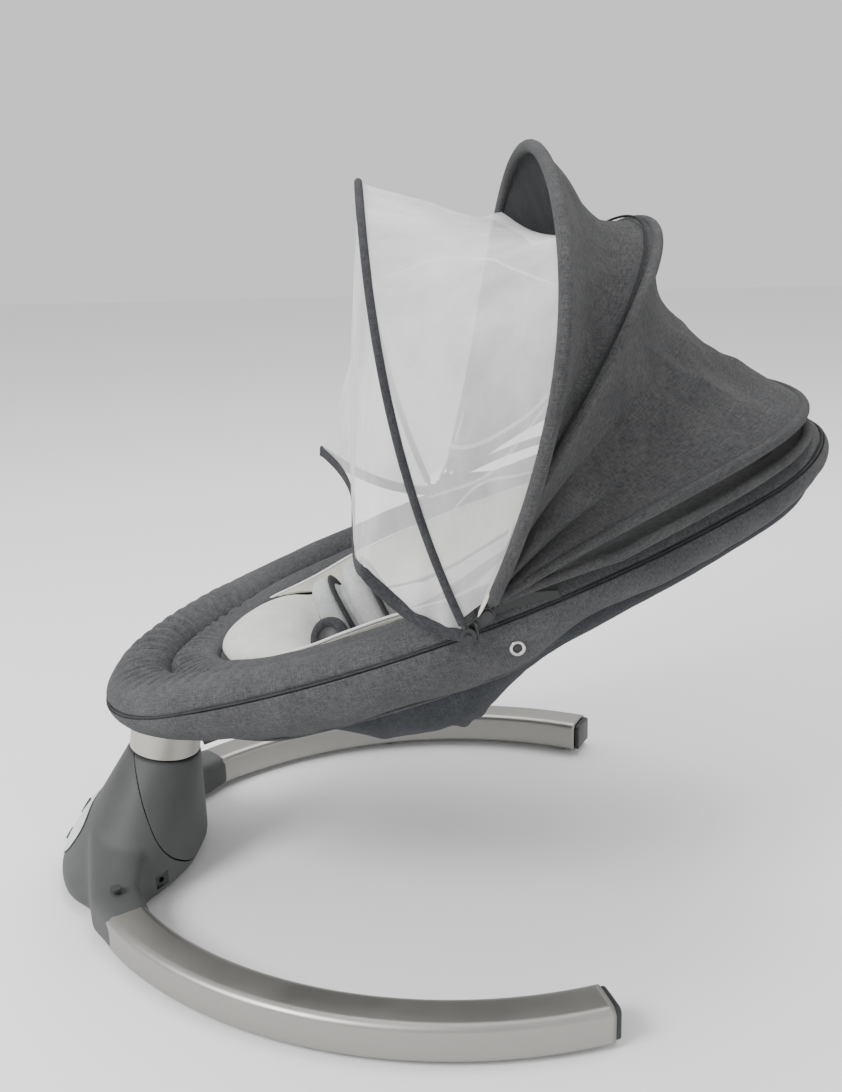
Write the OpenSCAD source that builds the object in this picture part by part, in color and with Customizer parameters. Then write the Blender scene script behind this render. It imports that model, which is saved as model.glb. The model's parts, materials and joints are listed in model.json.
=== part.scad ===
// Electric baby swing: a C-shaped floor base with a drive tower, and a reclining seat
// that sways about a leaning pillar axis under a folding canopy with an insect net.
// Frame: origin on the floor under the middle of the outline, +X towards the head end,
// +Z up, and +Y on the left of someone who stands at the tower and looks at the seat.

/* [Base] */
// Overall width of the C-shaped base
base_width = 570; // [540:1:600]
// Angle of each arm's tip, measured at the centre of its side arc
tip_angle = 68.7; // [60:1:75]
// Width of the aluminium arm tube
arm_width = 33; // [30:1:36]
// Height of the arm tube
arm_height = 28; // [25:1:30]
// Wall of the arm tube
arm_wall = 2; // [1.5:0.1:2.5]
// Height of the rubber feet
foot_height = 6; // [4:0.5:8]

/* [Swing drive] */
// Lean of the swing axis towards the seat
axis_tilt = 9.5; // [6:0.5:14]
// Angle that the seat is swung to, 0 is straight ahead
swing_angle = 8; // [-14:1:14]
// Radius of the main swing shaft
shaft_radius = 8; // [6:0.5:10]
// Radius of the metal collar under the seat
collar_radius = 33; // [28:1:36]
// Teeth that a full circle of the sector gear would have
sector_teeth = 72; // [60:6:84]
// Teeth of the motor pinion
pinion_teeth = 12; // [10:1:16]
// Module of the two gears
gear_module = 1; // [0.8:0.1:1.2]

/* [Seat] */
// Slope of the seat rim, foot end low
rim_pitch = 19; // [12:1:24]
// Length of the rim's centre line from foot to head
rim_length = 648; // [600:4:680]
// Radius of the rim's foot curve
rim_foot_radius = 120; // [100:5:140]
// Radius of the rim's head curve
rim_head_radius = 128; // [110:2:146]
// Radius of the rim's side curves
rim_side_radius = 597; // [560:1:700]
// Radius of the seat frame tube
frame_tube_radius = 8; // [6:0.5:9]
// Radius of the padded rim roll
roll_radius = 22; // [18:1:25]

/* [Canopy] */
// Height of the front hoop from its pivot
front_hoop_height = 342; // [300:2:360]
// Height of the middle hoop from its pivot
mid_hoop_height = 316; // [280:2:330]
// Height of the rear hoop from its pivot
rear_hoop_height = 320; // [290:2:340]
// Height of the net hoop from its pivot
net_hoop_height = 333; // [300:1:350]
// Radius of the hoop rods
hoop_radius = 2; // [1.5:0.5:2.5]

/* [Hidden] */
$fn = 48;

// ---- colours ----
shell_grey = [0.22, 0.23, 0.24];
arm_silver = [0.68, 0.68, 0.66];
panel_grey = [0.82, 0.83, 0.84];
rubber_black = [0.07, 0.07, 0.07];
steel_grey = [0.62, 0.62, 0.60];
fabric_grey = [0.30, 0.31, 0.33];
insert_cream = [0.86, 0.85, 0.80];
net_white = [0.92, 0.93, 0.93];

// ---- floor base ----
running_gap = 0.3;
// Distance from the middle of the base ring to the middle of the whole outline.
middle_shift = 17;
// The ring's centre line is a four-centre oval: two side arcs and one end arc.
ring_half_y = base_width / 2 - arm_width / 2;
ring_end_radius = 0.875 * ring_half_y;
ring_end_centre = -0.326 * ring_half_y;
ring_side_radius = ((ring_end_centre * ring_end_centre) + ring_half_y * ring_half_y
    - ring_end_radius * ring_end_radius) / (2 * (ring_half_y - ring_end_radius));
ring_side_centre = ring_side_radius - ring_half_y;
ring_join_angle = 180 - atan2(ring_side_centre, -ring_end_centre);
socket_angle = 139;
arm_end_angle = 168;
arm_shoulder = arm_width * 0.1;

// ---- swing axis ----
axis_x = -268;
axis_z = 135;
axis_point = [axis_x, 0, axis_z];
collar_low = -15;
collar_high = 14;
shaft_bottom = -108;
shaft_top = 34;
gear_level = -78;
gear_thickness = 6;
gear_distance = gear_module * (sector_teeth + pinion_teeth) / 2;
bearing_radius = shaft_radius + 7;

// ---- seat rim ----
rim_z = 196;
foot_overhang = 28;
rim_foot_centre = rim_foot_radius - foot_overhang;
rim_head_centre = rim_length - foot_overhang - rim_head_radius;
rim_side_s = (pow(rim_side_radius - rim_foot_radius, 2) - pow(rim_side_radius - rim_head_radius, 2)
    - pow(rim_foot_centre, 2) + pow(rim_head_centre, 2)) / (2 * (rim_head_centre - rim_foot_centre));
rim_side_y = sqrt(pow(rim_side_radius - rim_foot_radius, 2) - pow(rim_side_s - rim_foot_centre, 2));
foot_turn = atan2(rim_side_y, rim_foot_centre - rim_side_s);
head_turn = atan2(rim_side_y, rim_head_centre - rim_side_s);
rim_half_width = rim_side_radius - rim_side_y;

// ---- recline hinge, in rim coordinates ----
hinge_s = 323;
hinge_n = -19;
tube_end_lower = 300;
tube_end_upper = 346;
roll_end_lower = 284;
roll_end_upper = 372;
ear_thickness = 3;
ear_radius = 10;
bolt_radius = 3;
ear_y_lower = rim_half_width + 1;
ear_y_upper = ear_y_lower + ear_thickness + 0.4;

// ---- canopy pivots, in seat coordinates ----
pivot_x = 19;
pivot_z = 316;
net_pivot_x = 4;
net_pivot_z = 302;
pin_radius = 2.5;
eye_radius = 6.5;
eye_width = 4;
rear_hoop_y = 190;
mid_hoop_y = 196;
front_hoop_y = 202;
net_hoop_y = 208;
bracket_y = 182;
bracket_thickness = 4;
rod_start = eye_radius + 0.1;
hoop_steps = 40;
// Each hoop: pivot x, pivot z, half-width at the pivot, lean, height, widest half-width,
// height of the widest point, and bow as a share of the height.
front_hoop = [pivot_x, pivot_z, front_hoop_y, 10.5, front_hoop_height, 244, 175, 0.04];
mid_hoop = [pivot_x, pivot_z, mid_hoop_y, 30.5, mid_hoop_height, 214, 150, -0.06];
rear_hoop = [pivot_x, pivot_z, rear_hoop_y, 68, rear_hoop_height, 198, 110, -0.07];
net_arch = [net_pivot_x, net_pivot_z, net_hoop_y, -11.5, net_hoop_height, 210, 140, -0.05];
cloth_thickness = 2;
net_thickness = 1.2;

// ---- seat surfaces, in rim coordinates ----
// Depth of the outer fabric below the rim plane, at stations along the seat.
shell_depth_stations = [[26, 39], [60, 47], [130, 50], [160, 76], [190, 102], [232, 120],
    [262, 118], [292, 101], [314, 85], [336, 73], [362, 62], [440, 50], [540, 43], [606, 36]];
// Height of the sitting surface along the middle of the seat.
sitting_stations = [[0, -3], [110, -4], [134, -14], [152, -36], [170, -50], [200, -62], [232, -70],
    [262, -72], [300, -62], [334, -50], [384, -37], [450, -27], [600, -12]];
shell_edge_n = -23;
shell_thickness = 4;
liner_inset = 50;
liner_edge_n = -8;
liner_thickness = 9;
insert_gap = 1.2;
insert_thickness = 9;
insert_half_width = 92;
insert_front = 62;
insert_front_round = 84;
insert_head = 490;
lower_pads_end = 314;
upper_pads_start = 333;

// ==== placement ====
// Moves the whole swing so that the origin is under the middle of its outline.
module centred() {
    translate([middle_shift, 0, 0])
        children();
}
module in_seat() {
    translate(axis_point)
        rotate([0, axis_tilt, 0])
            rotate([0, 0, swing_angle])
                rotate([0, -axis_tilt, 0])
                    translate(-axis_point)
                        children();
}
module in_rim() {
    in_seat()
        translate([axis_x, 0, rim_z])
            rotate([0, -rim_pitch, 0])
                children();
}
module on_axis() {
    translate(axis_point)
        rotate([0, axis_tilt, 0])
            children();
}
module on_swing_axis() {
    on_axis()
        rotate([0, 0, swing_angle])
            children();
}
// A child drawn on the +Y side is put on both sides.
module both_sides() {
    children();
    mirror([0, 1, 0])
        children();
}

// ==== shared functions ====
function arc_points(cx, cy, r, a0, a1, n) =
    [for (i = [0 : n]) [cx + r * cos(a0 + (a1 - a0) * i / n), cy + r * sin(a0 + (a1 - a0) * i / n)]];

// Half-width of the rim's centre line at station s.
function rim_width_at(s) =
    s < rim_foot_centre + rim_foot_radius * cos(foot_turn)
        ? sqrt(max(0, pow(rim_foot_radius, 2) - pow(s - rim_foot_centre, 2)))
    : s > rim_head_centre + rim_head_radius * cos(head_turn)
        ? sqrt(max(0, pow(rim_head_radius, 2) - pow(s - rim_head_centre, 2)))
    : sqrt(pow(rim_side_radius, 2) - pow(s - rim_side_s, 2)) - rim_side_y;

// Half-width at station s of the rim's centre line moved inwards by m all round.
function inset_width_at(s, m) =
    s < rim_foot_centre ? sqrt(max(0, pow(rim_foot_radius - m, 2) - pow(s - rim_foot_centre, 2)))
    : s > rim_head_centre ? sqrt(max(0, pow(rim_head_radius - m, 2) - pow(s - rim_head_centre, 2)))
    : rim_width_at(s) - m;

// Faces of a closed sheet whose front grid and back grid each have (rows + 1) x (cols + 1) points.
function sheet_faces(rows, cols) =
    let (w = cols + 1, total = (rows + 1) * (cols + 1))
    concat(
        [for (i = [0 : rows - 1]) for (j = [0 : cols - 1])
            [i * w + j, i * w + j + 1, (i + 1) * w + j + 1]],
        [for (i = [0 : rows - 1]) for (j = [0 : cols - 1])
            [i * w + j, (i + 1) * w + j + 1, (i + 1) * w + j]],
        [for (i = [0 : rows - 1]) for (j = [0 : cols - 1])
            [total + i * w + j, total + (i + 1) * w + j + 1, total + i * w + j + 1]],
        [for (i = [0 : rows - 1]) for (j = [0 : cols - 1])
            [total + i * w + j, total + (i + 1) * w + j, total + (i + 1) * w + j + 1]],
        [for (j = [0 : cols - 1]) [j, total + j, total + j + 1, j + 1]],
        [for (j = [0 : cols - 1])
            [rows * w + j, rows * w + j + 1, total + rows * w + j + 1, total + rows * w + j]],
        [for (i = [0 : rows - 1]) [i * w, (i + 1) * w, total + (i + 1) * w, total + i * w]],
        [for (i = [0 : rows - 1])
            [i * w + cols, total + i * w + cols, total + (i + 1) * w + cols, (i + 1) * w + cols]]);

// A closed sheet from two equal grids of points, given as lists of rows.
module sheet(front, back) {
    rows = len(front) - 1;
    cols = len(front[0]) - 1;
    points = concat([for (r = front) each r], [for (r = back) each r]);
    polyhedron(points, sheet_faces(rows, cols), convexity = 6);
}

// ==== floor base ====
// Cross-section of the arm tube, grown by m on every side, standing on z = 0.
function arm_profile(m) =
    let (half = arm_width / 2 + m, low = -m, top = arm_height + m, h = arm_height)
    let (right = concat(
        arc_points(half - 3, low + 3, 3, -90, 0, 3),
        [[half, 0.5 * h], [half, 0.87 * h + m * 0.6], [half - arm_shoulder, 0.97 * h + m],
         [half * 0.3, top]]))
    concat(right, [for (i = [len(right) - 1 : -1 : 0]) [-right[i][0], right[i][1]]]);

// Sweeps a cross-section along the +Y arm's centre line between two angles.
module arm_sweep(m, from_angle, to_angle) {
    side_end = min(to_angle, ring_join_angle);
    translate([0, -ring_side_centre, foot_height])
        rotate([0, 0, from_angle])
            rotate_extrude(angle = side_end - from_angle)
                translate([ring_side_radius, 0])
                    polygon(arm_profile(m));
    if (to_angle > ring_join_angle)
        translate([ring_end_centre, 0, foot_height])
            rotate([0, 0, ring_join_angle])
                rotate_extrude(angle = to_angle - ring_join_angle)
                    translate([ring_end_radius, 0])
                        polygon(arm_profile(m));
}
arm_steps_side = 20;
arm_steps_end = 9;
arm_stations = concat(
    [for (i = [0 : arm_steps_side]) tip_angle + (ring_join_angle - tip_angle) * i / arm_steps_side],
    [for (i = [1 : arm_steps_end])
        ring_join_angle + (arm_end_angle - ring_join_angle) * i / arm_steps_end]);
// The arm's cross-section, grown by m, as a ring of points at an angle round the +Y arm.
function arm_ring(a, m) =
    let (side = a <= ring_join_angle, r = side ? ring_side_radius : ring_end_radius,
        c = side ? [0, -ring_side_centre] : [ring_end_centre, 0], profile = arm_profile(m))
    [for (i = [len(profile) - 1 : -1 : 0])
        [c[0] + (r + profile[i][0]) * cos(a), c[1] + (r + profile[i][0]) * sin(a),
            foot_height + profile[i][1]]];
// A tube with open ends, from equal lists of rings for its outer and inner skins.
module hollow_sweep(outer, inner) {
    sides = len(outer[0]);
    steps = len(outer) - 1;
    total = sides * len(outer);
    faces = [for (i = [0 : steps - 1]) for (j = [0 : sides - 1])
        let (a = i * sides + j, b = i * sides + (j + 1) % sides)
        each [[a, b, b + sides], [a, b + sides, a + sides],
            [total + a, total + b + sides, total + b], [total + a, total + a + sides, total + b + sides]]];
    rims = [for (j = [0 : sides - 1])
        let (b = (j + 1) % sides, last = steps * sides)
        each [[b, j, total + j, total + b], [last + j, last + b, total + last + b, total + last + j]]];
    polyhedron(concat([for (r = outer) each r], [for (r = inner) each r]), concat(faces, rims),
        convexity = 10);
}
module arm_tube() {
    hollow_sweep([for (a = arm_stations) arm_ring(a, 0)], [for (a = arm_stations) arm_ring(a, -arm_wall)]);
}
cap_angle = 0.9;
plug_angle = 2.6;
module arm_cap() {
    arm_sweep(0, tip_angle - cap_angle, tip_angle);
    arm_sweep(-arm_wall - 0.2, tip_angle - cap_angle / 2, tip_angle + plug_angle);
}
module base_arm_left() color(arm_silver) centred() arm_tube();
module base_arm_right() color(arm_silver) centred() mirror([0, 1, 0]) arm_tube();
module arm_cap_left() color(rubber_black) centred() arm_cap();
module arm_cap_right() color(rubber_black) centred() mirror([0, 1, 0]) arm_cap();

foot_radius = 10;
foot_angles = [tip_angle + 2.6, 104];
module base_feet() {
    color(rubber_black) centred()
        both_sides() {
            for (a = foot_angles)
                translate([ring_side_radius * cos(a), ring_side_radius * sin(a) - ring_side_centre, 0])
                    cylinder(r1 = foot_radius - 1.5, r2 = foot_radius, h = foot_height);
            translate([-342, 34, 0])
                cylinder(r1 = foot_radius - 1.5, r2 = foot_radius, h = foot_height);
        }
}

// ==== tower ====
wall = 3;
neck_low = -24;
neck_high = -17.5;
// Half of the tower's outline on the floor, from the outer face round to the inner face.
footprint_half = [[-372, 24], [-368, 44], [-358, 68], [-343, 90], [-322, 105], [-300, 110],
    [-276, 98], [-262, 78], [-253, 56], [-247, 34], [-245, 14]];
footprint = concat(footprint_half,
    [for (i = [len(footprint_half) - 1 : -1 : 0]) [footprint_half[i][0], -footprint_half[i][1]]]);
slab_low = foot_height;
slab_height = 13;
panel_point = [-358, 0, 41];
panel_lean = 58.4;
inlet_point = [-259, -76, 19];
inlet_turn = -39;
seam_x = -248;
seam_z = 18;
seam_lean = 23.6;
seam_half_width = 110;
socket_floor = 3;

// A thin slice of the socket around the +Y arm.
module socket_slice(angle, m) {
    translate([ring_end_centre, 0, foot_height])
        rotate([0, 0, angle])
            translate([ring_end_radius, 0, 0])
                rotate([90, 0, 0])
                    linear_extrude(1)
                        polygon(arm_profile(m));
}
// The closed outer shape of the tower with its two arm sockets.
module tower_form() {
    hull() {
        on_axis()
            translate([0, 0, neck_low])
                cylinder(r = collar_radius + 1, h = neck_high - neck_low);
        translate([0, 0, slab_low])
            linear_extrude(slab_height)
                polygon(footprint);
    }
    both_sides()
        difference() {
            union() {
                hull() {
                    socket_slice(socket_angle, 2.4);
                    socket_slice(socket_angle + 10, 7);
                }
                hull() {
                    socket_slice(socket_angle + 10, 7);
                    translate([-330, 20, slab_low])
                        cube([78, 40, 62]);
                }
            }
            translate([-420, -10, socket_floor - 50])
                cube([300, 220, 50]);
        }
}
module tower_cavity() {
    hull() {
        on_axis()
            translate([0, 0, neck_low])
                cylinder(r = collar_radius + 1 - wall, h = neck_high - neck_low - 3.5);
        translate([0, 0, -1])
            linear_extrude(slab_low + slab_height)
                offset(delta = -wall)
                    polygon(footprint);
    }
}
module panel_frame() {
    translate(panel_point)
        rotate([0, -panel_lean, 0])
            children();
}
module inlet_frame() {
    translate(inlet_point)
        rotate([0, 0, inlet_turn])
            children();
}
module tower_shell() {
    difference() {
        tower_form();
        tower_cavity();
        both_sides()
            arm_sweep(running_gap, 100, arm_end_angle + 4);
        on_axis()
            translate([0, 0, neck_low - 4])
                cylinder(r = bearing_radius + 0.05, h = 20);
        panel_frame()
            translate([-panel_length / 2 - running_gap, -panel_width / 2 - running_gap, -20])
                cube([panel_length + 2 * running_gap, panel_width + 2 * running_gap, 40]);
        inlet_frame()
            translate([-20, -inlet_width / 2 - running_gap, -inlet_height / 2 - running_gap])
                cube([60, inlet_width + 2 * running_gap, inlet_height + 2 * running_gap]);
        screw_places()
            cylinder(r = 2.6, h = 60, center = true);
    }
}
// Everything on the seat side of the seam between the two tower shells.
module seam_side() {
    rotate([90, 0, 0])
        linear_extrude(2 * seam_half_width, center = true)
            polygon([[seam_x, -60], [seam_x, seam_z], [seam_x - 400 * tan(seam_lean), seam_z + 400],
                [200, seam_z + 400], [200, -60]]);
}
module tower_front_shell() {
    color(shell_grey) centred()
        difference() {
            tower_shell();
            seam_side();
        }
}
module tower_rear_shell() {
    color(shell_grey) centred()
        intersection() {
            tower_shell();
            translate([0.2, 0, 0])
                seam_side();
        }
}
boss_radius = 19;
bearing_low = -112;
bearing_high = -98;
plate_thickness = 3;
module tower_base_plate() {
    color(shell_grey) centred()
        difference() {
            union() {
                translate([0, 0, slab_low])
                    linear_extrude(plate_thickness)
                        offset(delta = -wall - 0.4)
                            polygon(footprint);
                intersection() {
                    on_axis()
                        translate([0, 0, -150])
                            cylinder(r = boss_radius, h = 150 + bearing_high);
                    translate([-380, -60, slab_low + 1])
                        cube([160, 120, 100]);
                }
            }
            on_axis()
                translate([0, 0, bearing_low])
                    cylinder(r = bearing_radius + 0.05, h = 60);
            both_sides()
                arm_sweep(running_gap + 0.2, 100, arm_end_angle + 4);
            inlet_frame()
                translate([-22, -inlet_width / 2 - 1, -inlet_height / 2 - 1])
                    cube([60, inlet_width + 2, inlet_height + 2]);
        }
}
screw_angle = socket_angle + 8;
// Stands a child on top of each arm inside its socket, pointing up.
module screw_places() {
    both_sides()
        translate([ring_end_centre, 0, 0])
            rotate([0, 0, screw_angle])
                translate([ring_end_radius, 0, foot_height + arm_height])
                    children();
}
module socket_screws() {
    color(steel_grey) centred()
        screw_places() {
            translate([0, 0, running_gap])
                cylinder(r = 2.4, h = 8.5);
            translate([0, 0, 8.6])
                cylinder(r = 5, h = 2.4);
        }
}

// ---- control panel on the tower's outer face; its frame has +X up the slope, +Z outwards ----
panel_length = 56;
panel_width = 66;
panel_low = -4;
panel_high = 4;
key_travel = 1.2;
key_low = -3;
power_key_radius = 8;
small_key_radius = 6;
power_key_at = [12, 0, 0];
speed_key_at = [-13, 16, 0];
music_key_at = [-13, -16, 0];
board_top = -6.6;
board_thickness = 1.6;
module control_panel() {
    color(panel_grey) centred()
        panel_frame()
            difference() {
                union() {
                    translate([-panel_length / 2, -panel_width / 2, panel_low])
                        cube([panel_length, panel_width, 4.5]);
                    translate([-panel_length / 2 + 4, -panel_width / 2 + 4, panel_low])
                        cube([panel_length - 8, panel_width - 8, panel_high - panel_low]);
                    for (x = [-1, 1], y = [-1, 1])
                        translate([x * 22, y * 26, board_top])
                            cylinder(r = 2, h = panel_low - board_top + 1);
                }
                translate(power_key_at)
                    cylinder(r = power_key_radius + running_gap, h = 40, center = true);
                translate(speed_key_at)
                    cylinder(r = small_key_radius + running_gap, h = 40, center = true);
                translate(music_key_at)
                    cylinder(r = small_key_radius + running_gap, h = 40, center = true);
            }
}
module key(at, r) {
    color(shell_grey) centred()
        panel_frame()
            translate(at + [0, 0, key_low])
                cylinder(r = r, h = panel_high + 1.4 - key_low);
}
module power_key() key(power_key_at, power_key_radius);
module speed_key() key(speed_key_at, small_key_radius);
module music_key() key(music_key_at, small_key_radius);
module control_board() {
    color([0.05, 0.35, 0.18]) centred()
        panel_frame()
            translate([-25, -29, board_top - board_thickness])
                cube([50, 58, board_thickness]);
}

inlet_width = 15;
inlet_height = 12;
jack_radius = 2.75;
module power_inlet() {
    color(rubber_black) centred()
        inlet_frame()
            difference() {
                translate([-17, -inlet_width / 2, -inlet_height / 2])
                    cube([13, inlet_width, inlet_height]);
                translate([-14, 0, 0])
                    rotate([0, 90, 0])
                        cylinder(r = jack_radius, h = 20);
            }
}
module speaker() {
    color(rubber_black) centred()
        translate([-266, 28, slab_low + plate_thickness]) {
            cylinder(r = 13, h = 4);
            translate([0, 0, 4])
                cylinder(r1 = 13, r2 = 8, h = 5);
        }
}

// ==== swing drive, in the frame of the leaning axis ====
tooth_half = 0.66 * gear_module;
// A flat gear's outline as a disc with teeth at each angle in a list.
module gear_outline(teeth, angles) {
    r = gear_module * teeth / 2;
    circle(r = r - 1.25 * gear_module);
    for (a = angles)
        rotate(a)
            polygon([[r - 1.5 * gear_module, 1.1 * gear_module], [r, tooth_half],
                [r + 0.9 * gear_module, 0.3 * gear_module], [r + 0.9 * gear_module, -0.3 * gear_module],
                [r, -tooth_half], [r - 1.5 * gear_module, -1.1 * gear_module]]);
}
sector_half_angle = 32;
sector_teeth_half = floor(sector_half_angle * sector_teeth / 360);
module sector_gear() {
    color(steel_grey) centred()
        on_swing_axis()
            translate([0, 0, gear_level])
                difference() {
                    union() {
                        linear_extrude(gear_thickness)
                            intersection() {
                                gear_outline(sector_teeth, [for (i = [-sector_teeth_half : sector_teeth_half])
                                    180 + i * 360 / sector_teeth]);
                                polygon([[0, 0], [-60, 60 * tan(sector_half_angle + 2)],
                                    [-60, -60 * tan(sector_half_angle + 2)]]);
                            }
                        cylinder(r = shaft_radius + 6, h = gear_thickness + 6);
                    }
                    translate([0, 0, -1])
                        cylinder(r = shaft_radius + 0.02, h = 20);
                }
}
pinion_half_step = 180 / pinion_teeth;
module motor_pinion() {
    color("goldenrod") centred()
        on_axis()
            translate([-gear_distance - 0.15, 0, gear_level - 1])
                rotate([0, 0, -swing_angle * sector_teeth / pinion_teeth + pinion_half_step]) {
                    linear_extrude(gear_thickness + 2)
                        gear_outline(pinion_teeth, [for (i = [0 : pinion_teeth - 1]) i * 360 / pinion_teeth]);
                    translate([0, 0, -10])
                        cylinder(r = 2, h = 11);
                }
}
motor_radius = 14;
motor_top = gear_level - 8;
motor_length = 32;
module drive_motor() {
    color(steel_grey) centred()
        on_axis()
            translate([-gear_distance - 0.15, 0, motor_top - motor_length])
                difference() {
                    cylinder(r = motor_radius, h = motor_length);
                    translate([0, 0, motor_length - 8])
                        cylinder(r = 2.04, h = 10);
                }
}
module motor_bracket() {
    color(steel_grey) centred()
        difference() {
            on_axis()
                translate([-gear_distance, 0, motor_top]) {
                    translate([-15, -24, 0])
                        cube([30, 48, 2.5]);
                    for (y = [-20, 20])
                        translate([0, y, -60])
                            cylinder(r = 3, h = 61);
                }
            on_axis()
                translate([-gear_distance - 0.15, 0, motor_top - 1])
                    cylinder(r = 5, h = 10);
            translate([-420, -100, -100])
                cube([200, 200, 100 + slab_low + plate_thickness + 0.05]);
        }
}
module bearing(low, high, flange) {
    color(steel_grey) centred()
        on_axis()
            difference() {
                union() {
                    translate([0, 0, low])
                        cylinder(r = bearing_radius, h = high - low);
                    if (flange > 0)
                        translate([0, 0, low])
                            cylinder(r = bearing_radius + flange, h = neck_high - 3.6 - low);
                }
                translate([0, 0, low - 1])
                    cylinder(r = shaft_radius + 0.03, h = high - low + 2);
            }
}
module lower_bearing() bearing(bearing_low, bearing_high, 0);
module upper_bearing() bearing(neck_high - 7, neck_high, 4);
module swing_shaft() {
    color(steel_grey) centred()
        on_swing_axis()
            translate([0, 0, shaft_bottom])
                cylinder(r = shaft_radius, h = shaft_top - shaft_bottom - 10);
}
module swing_collar() {
    color(arm_silver) centred()
        on_swing_axis()
            difference() {
                translate([0, 0, collar_low])
                    cylinder(r = collar_radius, h = collar_high - collar_low);
                translate([0, 0, collar_low - 1])
                    cylinder(r = collar_radius - 2.5, h = collar_high - collar_low - 2);
                cylinder(r = hub_neck_radius + 0.1, h = 40);
            }
}

// ==== seat carrier ====
hub_neck_radius = 17;
hub_low_n = -34;
hub_high_n = -22;
hub_half_width = 24;
module seat_hub() {
    color(steel_grey) centred()
        difference() {
            union() {
                on_swing_axis()
                    translate([0, 0, 2])
                        cylinder(r = hub_neck_radius, h = 24);
                in_rim() {
                    translate([-38, -hub_half_width, hub_low_n])
                        cube([58, 2 * hub_half_width, hub_high_n - hub_low_n]);
                    translate([-38, -hub_half_width, hub_high_n - 1])
                        cube([20, 2 * hub_half_width, 1 - hub_high_n]);
                }
            }
            on_swing_axis()
                cylinder(r = shaft_radius + 0.02, h = shaft_top - 10);
            on_swing_axis()
                translate([0, 0, collar_low])
                    difference() {
                        cylinder(r = collar_radius + running_gap, h = collar_high + running_gap - collar_low);
                        cylinder(r = hub_neck_radius, h = 60);
                    }
            in_rim()
                rim_sweep_lower(roll_end_lower)
                    circle(r = frame_tube_radius + 0.1);
        }
}
fork_radius = 6;
fork_start = [20.2, 17, -28];
fork_end_s = 128;
fork_end = [fork_end_s, rim_width_at(fork_end_s), -frame_tube_radius - fork_radius - 0.2];
fork_vector = fork_end - fork_start;
fork_length = norm(fork_vector);
module fork_line(r) {
    both_sides()
        translate(fork_start)
            rotate([0, acos(fork_vector[2] / fork_length), atan2(fork_vector[1], fork_vector[0])])
                cylinder(r = r, h = fork_length);
}
module support_fork() {
    color(steel_grey) centred()
        in_rim()
            difference() {
                fork_line(fork_radius);
                fork_line(fork_radius - 1.5);
                translate([-20, -40, -60])
                    cube([40.2, 80, 80]);
                rim_sweep_lower(roll_end_lower)
                    circle(r = frame_tube_radius + 0.1);
            }
}

// Station's angle on a rim side arc.
function side_angle(s) = acos((s - rim_side_s) / rim_side_radius);
// Sweeps a child outline round the foot half of the rim, as far as station s_end.
// joint is an angle left open beside each place where a side curve meets the foot curve.
module rim_sweep_lower(s_end, joint = 0) {
    translate([rim_foot_centre, 0, 0])
        rotate([0, 0, foot_turn + joint])
            rotate_extrude(angle = 360 - 2 * foot_turn - 2 * joint)
                translate([rim_foot_radius, 0])
                    children();
    both_sides()
        translate([rim_side_s, -rim_side_y, 0])
            rotate([0, 0, side_angle(s_end)])
                rotate_extrude(angle = foot_turn - side_angle(s_end))
                    translate([rim_side_radius, 0])
                        children();
}
// Sweeps a child outline round the head half of the rim, from station s_start.
module rim_sweep_upper(s_start, joint = 0) {
    translate([rim_head_centre, 0, 0])
        rotate([0, 0, joint - head_turn])
            rotate_extrude(angle = 2 * head_turn - 2 * joint)
                translate([rim_head_radius, 0])
                    children();
    both_sides()
        translate([rim_side_s, -rim_side_y, 0])
            rotate([0, 0, head_turn])
                rotate_extrude(angle = side_angle(s_start) - head_turn)
                    translate([rim_side_radius, 0])
                        children();
}
module tube_outline() {
    difference() {
        circle(r = frame_tube_radius);
        circle(r = frame_tube_radius - 1.5);
    }
}
module roll_outline() {
    difference() {
        circle(r = roll_radius);
        circle(r = frame_tube_radius + running_gap);
    }
}
// A flat ear on a tube's end with the recline bolt's bore; side is +1 for the lower frame.
module hinge_ear(y, tube_end, side) {
    translate([0, y + ear_thickness / 2, 0])
        rotate([90, 0, 0])
            linear_extrude(ear_thickness)
                difference() {
                    union() {
                        translate([hinge_s, hinge_n])
                            circle(r = ear_radius);
                        polygon([[tube_end - side * 3, 5], [tube_end + side * 8, 5],
                            [hinge_s + side * 8, hinge_n + 6], [hinge_s - side * 8, hinge_n - 6],
                            [tube_end - side * 3, -5]]);
                    }
                    translate([hinge_s, hinge_n])
                        circle(r = bolt_radius + 0.05);
                }
}
// Each frame is three lengths of tube joined by short spigots inside them.
tube_joint = 0.04;
spigot_radius = frame_tube_radius - 1.1;
spigot_half = 12;
module spigots(centre, radius, turn) {
    both_sides()
        translate([centre + radius * cos(turn), radius * sin(turn), 0])
            rotate([90, 0, turn])
                cylinder(r = spigot_radius, h = 2 * spigot_half, center = true);
}
module seat_frame_lower() {
    color(steel_grey) centred()
        in_rim() {
            rim_sweep_lower(tube_end_lower, tube_joint)
                tube_outline();
            spigots(rim_foot_centre, rim_foot_radius, foot_turn);
            both_sides()
                hinge_ear(ear_y_lower, tube_end_lower, 1);
        }
}
module seat_frame_upper() {
    color(steel_grey) centred()
        in_rim() {
            rim_sweep_upper(tube_end_upper, tube_joint)
                tube_outline();
            spigots(rim_head_centre, rim_head_radius, head_turn);
            both_sides()
                hinge_ear(ear_y_upper, tube_end_upper, -1);
        }
}
bolt_in = ear_y_lower - 8;
bolt_out = rim_half_width + roll_radius - 4;
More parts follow.
